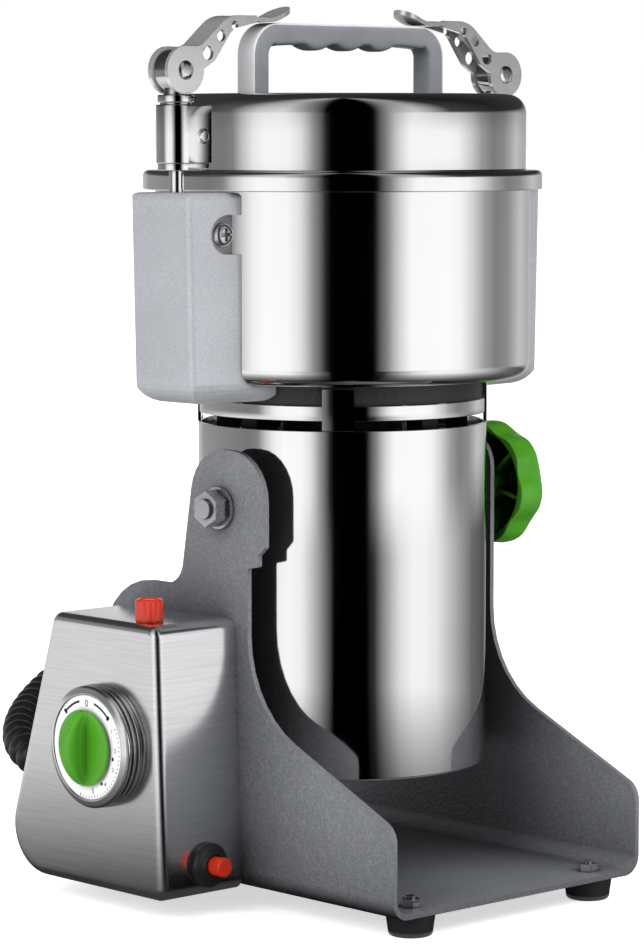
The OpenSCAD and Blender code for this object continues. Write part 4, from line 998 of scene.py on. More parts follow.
@dataclass
class MotorHousing:
    """The polished motor tube and the stainless band that joins it to the bowl.

    Attributes:
        radius: The tube's radius.
        low: Its lower end.
        high: Its upper end.
        wall: The sheet's thickness.
        lip: How far its rolled lower rim reaches in.
        band_gap: How far the band's bore stands out from the tube's.
        band_wall: The band's thickness.
        ring_low: The band's lower edge above the tube.
        ring_high: The band's upper edge above the tube.
        strap_low: How far above the tube the four straps start.
        strap_top: How far they rise above the tube.
        strap_width: The straps' width.
        strap_proud: How far they stand out from the band.
        strap_angles: Where they stand round the axis, in degrees.
    """

    radius: float = 60.0
    low: float = 53.0
    high: float = 195.0
    wall: float = 1.2
    lip: float = 2.5
    band_gap: float = 0.1
    band_wall: float = 0.8
    ring_low: float = 4.0
    ring_high: float = 10.0
    strap_low: float = 0.05
    strap_top: float = 17.0
    strap_width: float = 12.6
    strap_proud: float = 0.5
    strap_angles: tuple[float, float, float, float] = (45, 135, 225, 315)

    def tube(self) -> Patch:
        """The tube's wall with its rolled lower rim, as a closed turned profile.

        Returns:
            The tube's surface.
        """
        inner = self.radius - self.wall
        profile = rounded(
            [
                (inner - self.lip, self.low, 0.4),
                (self.radius, self.low, 1.15),
                (self.radius, self.high, 0.35),
                (inner, self.high, 0.35),
                (inner, self.low + self.wall, 0.3),
                (inner - self.lip, self.low + self.wall, 0.4),
            ],
            closed=True,
        )
        return lathe(profile, sides=256, closed=True)

    def strip(self, inner: float, outer: float, low: float, high: float) -> np.ndarray:
        """A strip's section of radius and height, with its edges broken."""
        corners = [(inner, low, 0.2), (outer, low, 0.3), (outer, high, 0.3), (inner, high, 0.2)]
        return rounded(corners, closed=True, steps=4)

    def band(self) -> list[Patch]:
        """The band as a turned profile, and the straps as bent slabs over it.

        Returns:
            The ring, then the four straps.
        """
        inner = self.radius - self.wall + self.band_gap
        outer = inner + self.band_wall
        ring = self.strip(inner, outer, self.high + self.ring_low, self.high + self.ring_high)
        strap = self.strip(
            inner, outer + self.strap_proud, self.high + self.strap_low, self.high + self.strap_top
        )
        half = math.degrees(self.strap_width / 2 / outer)
        straps = [
            bent_bar(strap, np.radians(np.linspace(middle - half, middle + half, 13)))
            for middle in self.strap_angles
        ]
        return [lathe(ring, sides=256, closed=True), *straps]

    def build(self) -> None:
        """Makes the tube and the band."""
        Piece("motor_shell", [self.tube()], SHELL_STEEL, Body.HEAD, ["motor_tube"]).build()
        Piece("neck_band", self.band(), SHELL_STEEL, Body.HEAD, ["neck_ring"]).build()


@dataclass
class GrindingBowl:
    """The bowl, the lid over it and the lid's handle.

    Attributes:
        radius: The bowl's outer radius.
        low: The bowl's underside.
        rim: The rim's underside.
        rim_width: How far the rim stands out.
        rim_thick: The rim's thickness where it is folded.
        wall: The sheet's thickness.
        bottom_hole: The radius of the shaft's hole in the bottom.
        bottom_round: The radius of the drawn bottom edge.
        lid_radius: The lid's outer radius.
        lid_round: The radius of the lid's shoulder.
        flange_radius: The radius of the lid's flange.
        flange: The height of the flange's top.
        flange_drop: How far the flange folds down.
        flange_round: The radius of its fold.
        dome: The height of the lid's top.
        lug_reach: How far the side lugs stand out.
        lug_middle: The height of their middle.
        lug: Half their width and height.
        handle_half: Half the handle's length.
        handle_top: The height of its top.
        handle_foot: How far over the lid's top it starts.
        bow_round: The radius of its corners, along the bar's middle.
        bar: The bar's height and width.
        fingers: Places of the three finger ridges along the bar.
        ridge: The ridges' height and half their length.
        ridge_waist: How much narrower the bar is under a ridge, as a share.
        corner_fill: How much thicker the bar is towards its corners.
        fill_over: Between which distances from the middle it grows thicker.
        band: The light band's thickness, and how much narrower than the bar it is.
        band_sunk: How far the band's middle lies under the bar's outer side.
    """

    radius: float = 77.7
    low: float = 213.5
    rim: float = 292.5
    rim_width: float = 3.2
    rim_thick: float = 1.5
    wall: float = 1.2
    bottom_hole: float = 14.1
    bottom_round: float = 7.0
    lid_radius: float = 75.9
    lid_round: float = 8.0
    flange_radius: float = 82.7
    flange: float = 299.0
    flange_drop: float = 8.0
    flange_round: float = 2.4
    dome: float = 330.0
    lug_reach: float = 7.6
    lug_middle: float = 274.0
    lug: tuple[float, float] = (12.0, 8.0)
    handle_half: float = 53.5
    handle_top: float = 358.2
    handle_foot: float = 0.1
    bow_round: float = 8.6
    bar: tuple[float, float] = (8.4, 11.0)
    fingers: tuple[float, float, float] = (-18.0, 0.0, 18.0)
    ridge: tuple[float, float] = (2.2, 7.0)
    ridge_waist: float = 0.12
    corner_fill: float = 0.9
    fill_over: tuple[float, float] = (30.0, 46.0)
    band: tuple[float, float] = (1.1, 1.2)
    band_sunk: float = 0.25

    def bowl(self) -> list[Patch]:
        """The bowl as a closed turned profile with a drawn bottom edge and a folded rim, and its lugs.

        Returns:
            The bowl's sheet, then its two lugs.
        """
        inner, hole = self.radius - self.wall, self.bottom_hole
        out, top = self.radius + self.rim_width, self.rim + self.rim_thick
        floor = self.low + self.wall
        profile = rounded(
            [
                (hole, self.low, 0),
                (self.radius, self.low, self.bottom_round),
                (self.radius, self.rim, 0.5),
                (out, self.rim, 0.7),
                (out, top, 0.7),
                (inner, top, 0.5),
                (inner, floor, self.bottom_round - self.wall),
                (hole, floor, 0),
            ],
            closed=True,
            steps=12,
        )
        half, tall = self.lug
        plan = rounded(
            [(-half, -tall, 1), (half, -tall, 1), (half, tall, 1), (-half, tall, 1)], closed=True, steps=3
        )
        outward = Place((0, 0, self.lug_middle), (0, 1, 0), (0, 0, 1), (1, 0, 0))
        block = soft_prism(plan, self.radius - 0.6, self.radius + self.lug_reach, 0, 0.6, outward, 3)
        return [lathe(profile, sides=256, closed=True), block, *mirrored([block])]

    def lid(self) -> Patch:
        """The lid's sheet: a flat top, a drawn shoulder, a straight wall, and a flange folded down.

        Returns:
            The sheet's surface.
        """
        wall, edge = self.wall, self.flange - self.flange_drop
        inner, lining = self.lid_radius - wall, self.flange_radius - wall
        profile = rounded(
            [
                (0, self.dome, 0),
                (self.lid_radius, self.dome, self.lid_round),
                (self.lid_radius, self.flange, 0.6),
                (self.flange_radius, self.flange, self.flange_round),
                (self.flange_radius, edge, 0.55),
                (lining, edge, 0.55),
                (lining, self.flange - wall, self.flange_round - wall),
                (inner, self.flange - wall, 0.6),
                (inner, self.dome - wall, self.lid_round - wall),
                (0, self.dome - wall, 0),
            ],
            steps=12,
        )
        return lathe(spaced(profile, 8.0), sides=256)

    def bow(self, longest: float) -> np.ndarray:
        """The handle's middle line: up from the lid, across and down again, with rounded corners.

        Args:
            longest: The longest step along it.

        Returns:
            Its points.
        """
        half, top = self.handle_half - self.bar[0] / 2, self.handle_top - self.bar[0] / 2
        foot, bend = self.dome + self.handle_foot, self.bow_round
        corners = [(-half, foot, 0), (-half, top, bend), (half, top, bend), (half, foot, 0)]
        line = spaced(rounded(corners, steps=16), longest)
        return np.stack([line[:, 0], 0 * line[:, 0], line[:, 1]], -1)

    def handle(self) -> Patch:
        """The bow handle: a rounded section carried along the bow, thicker under the bar by three ridges.

        The section grows downwards by h (1 - ((x - x0) / w)^2) near each ridge at x0, where h is the
        ridge's height and w half its length, and by a little towards the bar's corners.

        Returns:
            The bow's surface.
        """
        tall, wide = self.bar
        high, long = self.ridge
        start, end = self.fill_over
        path = self.bow(0.7)
        on_bar = path[:, 2] > self.handle_top - tall / 2 - 0.2
        reach = np.min([np.abs(path[:, 0] - x) for x in self.fingers], axis=0)
        ridge = np.where(on_bar, high * np.clip(1 - (reach / long) ** 2, 0, 1), 0)
        near_corner = np.clip((np.abs(path[:, 0]) - start) / (end - start), 0, 1) * on_bar
        section = super_section(wide, tall, 5.5, 56)
        grid = np.repeat(section[None], len(path), 0)
        under = np.clip(-section[:, 1] / (tall / 2), 0, 1)
        grid[:, :, 1] -= under * (ridge + self.corner_fill * near_corner)[:, None]
        grid[:, :, 0] *= 1 - self.ridge_waist * under * (ridge / high)[:, None]
        return tube(path, grid, np.array([0.0, 1.0, 0.0]))

    def handle_band(self) -> Patch:
        """The lighter band round the bow's outer side: a flat rounded strip that stands a little proud.

        Returns:
            The strip's surface.
        """
        tall, wide = self.bar
        thick, narrower = self.band
        strip = super_section(wide - narrower, thick, 8.0, 56)
        outer_side = np.array([0.0, tall / 2 - self.band_sunk])
        return tube(self.bow(1.0), strip + outer_side, np.array([0.0, 1.0, 0.0]))

    def build(self) -> None:
        """Makes the bowl, the lid and the handle."""
        Piece("bowl_shell", self.bowl(), SHELL_STEEL, Body.HEAD, ["bowl"]).build()
        Piece("lid_shell", [self.lid()], SHELL_STEEL, Body.HEAD, ["lid"]).build()
        Piece("handle_bow", [self.handle()], HANDLE_GREY, Body.HEAD, ["lid_handle"], crease=60).build()
        Piece("handle_band", [self.handle_band()], HANDLE_LIGHT, Body.HEAD, crease=60).build()


@dataclass
class ControlBox:
    """The satin steel box on the left cheek, with its dial, lamp and switch.

    A line here is a turned outline: its points' radius, height and corner radius.

    Attributes:
        near: Where the box meets the cheek, along X.
        far: Its outer face, along X.
        corners: Its outline seen along X, as Y, Z and radius.
        edge: The radius of the outer face's edges.
        dial: The dial's centre in Y and Z.
        bezel: The bezel's radius and height.
        bezel_bore: The bezel's inner radius.
        bezel_foot: How far over the box's face it starts.
        bezel_ribs: The line of its ribs and grooves, as depth under its radius, height and corner radius.
        disc: The white disc's radius, the radius of its bore and its thickness.
        disc_sunk: How far it lies under the bezel's top.
        ink: Between which depths under the bezel's top the print lies.
        arrow: The angles between which each turning arrow runs, and where its head starts.
        arrow_radii: The inner and outer radius of the arrows.
        head_radii: The same of their heads.
        ticks: How many minute ticks there are, where they start and how far apart they are, in degrees.
        tick_radii: Where long ticks start, where short ones do, and where both end.
        tick_half: Half a tick's width in degrees.
        dots: The angles of the two dots.
        dot_radii: Their inner and outer radius.
        dot_half: Half their width in degrees.
        figures_at: The figures, each with its angle and its height.
        figure_radius: Their distance from the dial's centre.
        knob_radius: The timer knob's radius.
        knob_lift: Its clearance over the bezel's top.
        knob_disc: The thickness of its disc.
        knob_top: The height of its grip over its foot.
        grip_reach: Half the grip's length.
        grip_bow: The radius of the grip's crest.
        grip_flat: Half the length of the crest's flat middle.
        grip_half: Half the grip's width at its foot.
        grip_taper: How much narrower each side is at the top.
        grip_flare: How far its root flares out on each side, and over what height.
        grip_power: The power that makes the grip's section a rounded rectangle.
        lamp: The lamp's place.
        lamp_line: Its line.
        lamp_stem: The radius under which it has no flutes.
        lamp_flutes: The number of its flutes, and their depth as a share of the radius.
        lamp_foot: The heights between which the flutes grow out of its foot.
        switch: The reset switch's place.
        switch_line: Its line.
        lean: How far the front wall leans, in degrees.
    """

    near: float = -70.65
    far: float = -113.0
    corners: Sequence[Corner] = (
        (-12.0, 119.5, 5.0),
        (53.0, 119.5, 5.0),
        (88.05, 9.0, 20.0),
        (-16.0, 9.0, 5.0),
    )
    edge: float = 3.6
    dial: tuple[float, float] = (21.0, 68.3)
    bezel: tuple[float, float] = (25.0, 8.3)
    bezel_bore: float = 18.6
    bezel_foot: float = 0.05
    bezel_ribs: Sequence[Corner] = (
        (0.0, 0.05, 0.15),
        (0.0, 1.5, 0.3),
        (1.4, 1.7, 0.2),
        (1.4, 2.9, 0.2),
        (0.1, 3.1, 0.3),
        (0.1, 3.9, 0.3),
        (1.5, 4.1, 0.2),
        (1.5, 5.2, 0.2),
        (0.25, 5.4, 0.3),
    )
    disc: tuple[float, float, float] = (21.05, 3.3, 0.8)
    disc_sunk: float = 0.2
    ink: tuple[float, float] = (0.21, 0.15)
    arrow: tuple[float, float, float] = (14.0, 47.0, 43.0)
    arrow_radii: tuple[float, float] = (18.3, 19.2)
    head_radii: tuple[float, float] = (17.7, 19.8)
    ticks: tuple[int, float, float] = (26, -62.0, 5.2)
    tick_radii: tuple[float, float, float] = (19.3, 19.75, 20.5)
    tick_half: float = 0.5
    dots: tuple[float, float] = (-100.0, -146.0)
    dot_radii: tuple[float, float] = (15.9, 17.0)
    dot_half: float = 2.4
    figures_at: Sequence[tuple[str, float, float]] = (
        ("0", 0, 4.0),
        ("1", 62, 2.6),
        ("2", 88, 2.6),
        ("3", 114, 2.6),
        ("4", 140, 2.6),
        ("5", 168, 3.2),
    )
    figure_radius: float = 17.8
    knob_radius: float = 15.5
    knob_lift: float = 0.4
    knob_disc: float = 1.9
    knob_top: float = 10.0
    grip_reach: float = 14.9
    grip_bow: float = 15.2
    grip_flat: float = 1.8
    grip_half: float = 2.35
    grip_taper: float = 0.4
    grip_flare: tuple[float, float] = (0.9, 0.5)
    grip_power: float = 0.36
    lamp: tuple[float, float, float] = (-104.0, 2.0, 119.5)
    lamp_line: Sequence[Corner] = (
        (0, -15, 0),
        (4, -15, 0.3),
        (4, 0.02, 0),
        (5.4, 0.02, 0.2),
        (5.7, 1.2, 0.3),
        (5.9, 8.9, 0.7),
        (4.2, 9.5, 0.4),
        (3.4, 9.0, 0.3),
        (0, 9.0, 0),
    )
    lamp_stem: float = 4.4
    lamp_flutes: tuple[int, float] = (10, 0.09)
    lamp_foot: tuple[float, float] = (1.4, 2.0)
    switch: tuple[float, float, float] = (-89.0, -15.54, 21.5)
    switch_line: Sequence[Corner] = (
        (3.99, -12, 0),
        (7.4, -12, 0.4),
        (7.4, 0.02, 0),
        (9.0, 0.02, 0.2),
        (9.0, 2.2, 0.9),
        (8.1, 3.4, 0.8),
        (5.9, 4.0, 0.6),
        (5.6, 5.0, 0.4),
        (4.4, 5.0, 0.3),
        (3.99, 4.6, 0.2),
    )
    lean: float = 2.07

    def dial_place(self) -> Place:
        """The dial's frame: Z out of the box, X up and Y back."""
        return Place((self.far, *self.dial), (0, 0, 1), (0, 1, 0), (-1, 0, 0))

    def drawn_in(self, depth: float) -> np.ndarray:
        """The outline moved in edge by edge, with its corner radii cut by the same.

        Args:
            depth: How far it moves in.

        Returns:
            Its points, as Y and Z.
        """
        spots = np.array([c[:2] for c in self.corners])
        back = np.roll(spots, 1, 0) - spots
        ahead = np.roll(spots, -1, 0) - spots
        back /= np.linalg.norm(back, axis=1, keepdims=True)
        ahead /= np.linalg.norm(ahead, axis=1, keepdims=True)
        half = np.arccos(np.sum(back * ahead, 1)) / 2
        bisector = (back + ahead) / np.linalg.norm(back + ahead, axis=1, keepdims=True)
        new = spots + bisector * (depth / np.sin(half))[:, None]
        corners = [(*p, max(c[2] - depth, 0.3)) for p, c in zip(new, self.corners)]
        return rounded(corners, closed=True, steps=14)

    def shell(self) -> Patch:
        """The box's skin: its outline carried out from the cheek, then drawn in round the face's edge.

        At angle t of the edge the outline stands in by r (1 - cos t) and out by r sin t.

        Returns:
            The skin, closed at both ends.
        """
        turn = np.linspace(0, math.pi / 2, 11)
        edge = self.edge
        span = self.near - self.far - edge
        on_wall = self.near - span * np.array([0, 0.5, 0.97])
        depths = np.concatenate([0 * on_wall, edge * (1 - np.cos(turn))])
        reaches = np.concatenate([on_wall, self.far + edge * (1 - np.sin(turn))])
        rings = []
        for depth, x in zip(depths, reaches):
            ring = self.drawn_in(depth)
            rings.append(np.column_stack([np.full(len(ring), x), ring]))
        middle = rings[-1].mean(0)
        inner = [middle + (rings[-1] - middle) * s for s in (0.97, 0.6, 0.0)]
        back = rings[0].mean(0)
        return Patch(np.stack([rings[0] * 0 + back, *rings, *inner]))

    def bezel_ring(self) -> Patch:
        """The bezel: three ribs with two grooves between them, the front one coned up to the dial.

        Returns:
            The closed ring.
        """
        radius, top = self.bezel
        disc = self.disc[0]
        ribs = [(radius - depth, height, bend) for depth, height, bend in self.bezel_ribs]
        cone = [
            (ribs[-1][0], top - 1.6, 0.6),
            (radius - 1.1, top - 0.8, 0.5),
            (disc + 0.55, top, 0.4),
            (disc + 0.15, top - 0.6, 0.2),
        ]
        bore = self.bezel_bore
        line = [(bore, self.bezel_foot, 0), *ribs, *cone, (bore, top - self.disc_sunk - self.disc[2], 0)]
        return lathe(rounded(line, closed=True, steps=6), self.dial_place(), 160, closed=True)

    def dial_disc(self) -> Patch:
        """The white dial disc, with a fine step round its rim.

        Returns:
            The closed disc.
        """
        radius, bore, thick = self.disc
        top = self.bezel[1] - self.disc_sunk
        line = [
            (bore, top, 0),
            (radius - 0.5, top, 0.1),
            (radius, top - 0.25, 0.1),
            (radius, top - thick, 0),
            (bore, top - thick, 0),
        ]
        return lathe(rounded(line, closed=True, steps=3), self.dial_place(), 128, closed=True)

    def marks(self) -> list[Patch]:
        """The printed scale: two turning arrows, minute ticks and dots, laid on the dial.

        Angles run from the top towards the front of the mill.

        Returns:
            One slab for each mark.
        """
        start, end, head = self.arrow
        spans = [(self.arrow_radii, (side * start, side * end)) for side in (-1, 1)]
        spans += [(self.head_radii, (side * head, side * end)) for side in (-1, 1)]
        count, first, apart = self.ticks
        long, short, rim = self.tick_radii
        for minute in range(count):
            angle = first - minute * apart
            inner = short if minute % 5 else long
            spans.append(((inner, rim), (angle - self.tick_half, angle + self.tick_half)))
        spans += [(self.dot_radii, (angle - self.dot_half, angle + self.dot_half)) for angle in self.dots]
        heights = (self.bezel[1] - self.ink[0], self.bezel[1] - self.ink[1])
        slabs = [polar_mark(radii, angles, heights) for radii, angles in spans]
        return moved(slabs, self.dial_place())

    def figures(self) -> None:
        """The scale's figures: plain digits that stand upright on the dial."""
        for text, angle, size in self.figures_at:
            curve = bpy.data.curves.new("figure", "FONT")
            curve.body, curve.size, curve.extrude = text, size, 0.03
            curve.align_x, curve.align_y = "CENTER", "CENTER"
            holder = bpy.data.objects.new("figure", curve)
            bpy.context.scene.collection.objects.link(holder)
            seen = holder.evaluated_get(bpy.context.evaluated_depsgraph_get())
            mesh = bpy.data.meshes.new_from_object(seen)
            bpy.data.objects.remove(holder)
            flat = np.empty(len(mesh.vertices) * 3, np.float32)
            mesh.vertices.foreach_get("co", flat)
            flat = flat.reshape(-1, 3)
            turn = math.radians(angle)
            up, back = self.figure_radius * math.cos(turn), -self.figure_radius * math.sin(turn)
            out = self.bezel[1] - sum(self.ink) / 2 + flat[:, 2]
            local = np.column_stack([up + flat[:, 1], back - flat[:, 0], out])
            placed = self.dial_place().put(local) * MM
            mesh.vertices.foreach_set("co", placed.astype(np.float32).ravel())
            mesh.materials.clear()
            mesh.materials.append(DIAL_INK.material())
            mesh.update()
            figure = bpy.data.objects.new(f"dial_figure_{text}", mesh)
            bpy.context.scene.collection.objects.link(figure)
            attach(figure, Body.BASE.value)
        LOG.info("dial figures: %d digits", len(self.figures_at))

    def knob_face(self) -> Patch:
        """The timer knob's thin disc, closed at its centre on both sides.

        Returns:
            The disc's surface.
        """
        radius, foot = self.knob_radius, self.bezel[1] + self.knob_lift
        top = foot + self.knob_disc
        line = [
            (0, foot, 0),
            (radius - 0.6, foot, 0.1),
            (radius, foot + 0.6, 0.3),
            (radius - 0.15, top - 0.05, 0.5),
            (radius - 1.6, top + 0.05, 0.3),
            (0, top, 0),
        ]
        return lathe(rounded(line), sides=192)

    def knob_grip(self) -> Patch:
        """The timer knob's upright grip, whose crest follows an arc from end to end.

        The crest's height over the disc at x is sqrt(R^2 - (|x| - f)^2) less the arc's depth, with f half
        the flat in its middle. Across it the grip is a rounded rectangle, which flares at its root.

        Returns:
            The grip, closed at both ends.
        """
        face = self.bezel[1] + self.knob_lift + self.knob_disc
        tall = self.knob_top - self.knob_disc
        x = self.grip_reach * np.sin(np.linspace(-1, 1, 97) * math.pi / 2)
        past_flat = np.clip(np.abs(x) - self.grip_flat, 0, None)
        crest = np.clip(tall - self.grip_bow + np.sqrt(self.grip_bow**2 - past_flat**2), 0.25, None)
        angle = np.linspace(0, 2 * math.pi, 96, endpoint=False)
        c, s = np.cos(angle), np.sin(angle)
        rise = np.sign(s) * np.abs(s) ** self.grip_power
        high = np.where(rise[None] > 0, crest[:, None], 0.6) * rise[None]
        half = self.grip_half - self.grip_taper * np.clip(high / tall, 0, 1)
        flare, over = self.grip_flare
        root = flare * np.exp(-np.clip(high, 0, None) / over)
        wide = np.sign(c) * np.abs(c) ** self.grip_power * (half + root)
        grid = np.stack([x[:, None] + 0 * wide, wide, face + high], -1)
        ends = [
            np.tile([end, 0.0, face - 0.2], (len(angle), 1))[None]
            for end in (-self.grip_reach, self.grip_reach)
        ]
        return Patch(np.concatenate([ends[0], grid, ends[1]]))

    def lamp_lens(self) -> list[Patch]:
        """The lamp: a fluted cap over a smooth stem, whose radius dips as r (1 - d cos^2(n a / 2)).

        Here n is the number of flutes and d their depth as a share.

        Returns:
            The lamp as one patch.
        """
        (count, deep), (start, full), sides = self.lamp_flutes, self.lamp_foot, 200
        patch = lathe(rounded(self.lamp_line, steps=5), sides=sides)
        angle = np.linspace(0, 2 * math.pi, sides, endpoint=False)
        dip = deep * np.cos(count * angle / 2) ** 2
        x, y, height = np.moveaxis(patch.points, -1, 0)
        on_cap = np.clip((height - start) / (full - start), 0, 1) * (np.hypot(x, y) > self.lamp_stem)
        patch.points[..., :2] *= (1 - dip * on_cap)[..., None]
        return moved([patch], Place(self.lamp))

    def switch_body(self) -> Patch:
        """The reset switch: a domed body with a collar round the button, and its stem through the wall.

        Returns:
            The turned body.
        """
        tilt = math.radians(self.lean)
        out = (0.0, -math.cos(tilt), math.sin(tilt))
        up = (0.0, math.sin(tilt), math.cos(tilt))
        line = rounded(self.switch_line, closed=True, steps=5)
        return lathe(line, Place(self.switch, (1, 0, 0), up, out), 96, closed=True)

    def build(self) -> None:
        """Makes the box and what shows on it."""
        Piece("box_skin", [self.shell()], BOX_STEEL, Body.BASE, ["control_box"], crease=50).build()
        Piece("bezel_ring", [self.bezel_ring()], BEZEL_CHROME, Body.BASE, ["timer_bezel"]).build()
        Piece("dial_disc", [self.dial_disc()], DIAL_WHITE, Body.BASE, ["dial_plate"]).build()
        Piece("dial_scale", self.marks(), DIAL_INK, Body.BASE).build()
        self.figures()
        knob = moved([self.knob_face(), self.knob_grip()], self.dial_place())
        Piece("timer_grip", knob, GREEN, Body.TIMER_DIAL, ["timer_knob"], crease=26).build()
        Piece("lamp_cap", self.lamp_lens(), LAMP_LENS, Body.BASE, ["pilot_lamp"]).build()
        Piece("switch_collar", [self.switch_body()], BLACK, Body.BASE, ["reset_switch"]).build()


@dataclass
class LockKnob:
    """The hollow hand knob on the right of the pivot.

    Attributes:
        start: Where its hub starts along X.
        pivot: The pivot's Y and Z.
        radius: Its outer radius.
        length: The length from the hub's end to its outer face.
        lobes: Number of grips.
        dip: How deep the outer wall dips between the grips.
        dip_power: The power that makes the dips narrower than the grips.
        wall: The wall's thickness where it dips.
        mouth: How far from the hub's end the cup's mouth lies.
        face: The outer face's thickness.
        hub_line: The hub's stepped outline at its end, as radius, height and corner radius.
        hub_bore: The radius of its bore.
        hub_foot: Its radius where it meets the outer face.
        hub_sunk: How far under the outer face it ends.
        rib_from: The radius where the ribs start, and their height there.
        rib_to: The radius where they end, and their height there.
        rib_top: Where they meet the outer face.
        rib_half: Half their thickness.
    """

    start: float = 72.5
    pivot: tuple[float, float] = (-3.0, 163.4)
    radius: float = 27.0
    length: float = 20.0
    lobes: int = 7
    dip: float = 2.2
    dip_power: float = 1.6
    wall: float = 1.7
    mouth: float = 5.4
    face: float = 4.0
    hub_line: Sequence[Corner] = ((8.0, 0.0, 0.6), (8.9, 3.0, 0.6))
    hub_bore: float = 4.1
    hub_foot: float = 9.2
    hub_sunk: float = 3.5
    rib_from: tuple[float, float] = (8.6, 7.4)
    rib_to: tuple[float, float] = (23.3, 6.6)
    rib_top: float = 16.3
    rib_half: float = 0.8

    def cup(self) -> Patch:
        """The lobed cup: a turned shell whose outer wall dips by d (0.5 + 0.5 cos n a)^p.

        Here n is the number of grips, d the dip and p its power. The bore stays round.

        Returns:
            The cup's surface.
        """
        r, far = self.radius, self.length
        bore, floor = r - self.dip - self.wall, far - self.face
        profile = rounded(
            [
                (0, floor, 0),
                (bore, floor, 1.2),
                (bore, self.mouth, 0.4),
                (r - 0.8, self.mouth, 0.5),
                (r, far * 0.62, 2.0),
                (r - 0.4, far, 4.2),
                (r - 9, far - 0.2, 2.0),
                (r - 12, far - 1.2, 2.0),
                (0, far - 1.2, 0),
            ],
            steps=10,
        )
        sides = self.lobes * 40
        patch = lathe(spaced(profile, 2.0), sides=sides)
        angle = np.linspace(0, 2 * math.pi, sides, endpoint=False)
        dip = self.dip * (0.5 + 0.5 * np.cos(self.lobes * angle)) ** self.dip_power
        radius = np.hypot(patch.points[..., 0], patch.points[..., 1])
        share = np.clip((radius - bore - 0.5) / (r - bore - 1.0), 0, 1)
        patch.points[..., :2] *= (1 - dip * share / np.maximum(radius, 1))[..., None]
        return patch

    def hub(self) -> Patch:
        """The hub in the middle of the cup, with a stepped end.

        Returns:
            The closed hub.
        """
        end = self.length - self.hub_sunk
        line = [(self.hub_bore, 0.0, 0), *self.hub_line, (self.hub_foot, end, 0), (self.hub_bore, end, 0)]
        return lathe(rounded(line, closed=True), sides=96, closed=True)

    def ribs(self) -> list[Patch]:
        """Thin ribs from the hub to the cup's wall, halfway between the grips.

        Returns:
            One plate for each rib.
        """
        corners = [
            (*self.rib_from, 0.4),
            (*self.rib_to, 0.4),
            (self.rib_to[0], self.rib_top, 0),
            (self.rib_from[0], self.rib_top, 0),
        ]
        outline = rounded(corners, closed=True, steps=3)
        plates = []
        for i in range(self.lobes):
            a = math.radians((i + 0.5) * 360 / self.lobes)
            out, side = (math.cos(a), math.sin(a), 0.0), (-math.sin(a), math.cos(a), 0.0)
            place = Place((0, 0, 0), out, (0, 0, 1), side)
            plates.append(soft_prism(outline, -self.rib_half, self.rib_half, 0.3, 0.3, place, 3))
        return plates

    def build(self) -> None:
        """Makes the knob."""
        place = Place((self.start, *self.pivot), (0, 0, -1), (0, 1, 0), (1, 0, 0))
        patches = moved([self.cup(), self.hub(), *self.ribs()], place)
        Piece("lock_grip", patches, GREEN, Body.LOCK, ["lock_knob"]).build()


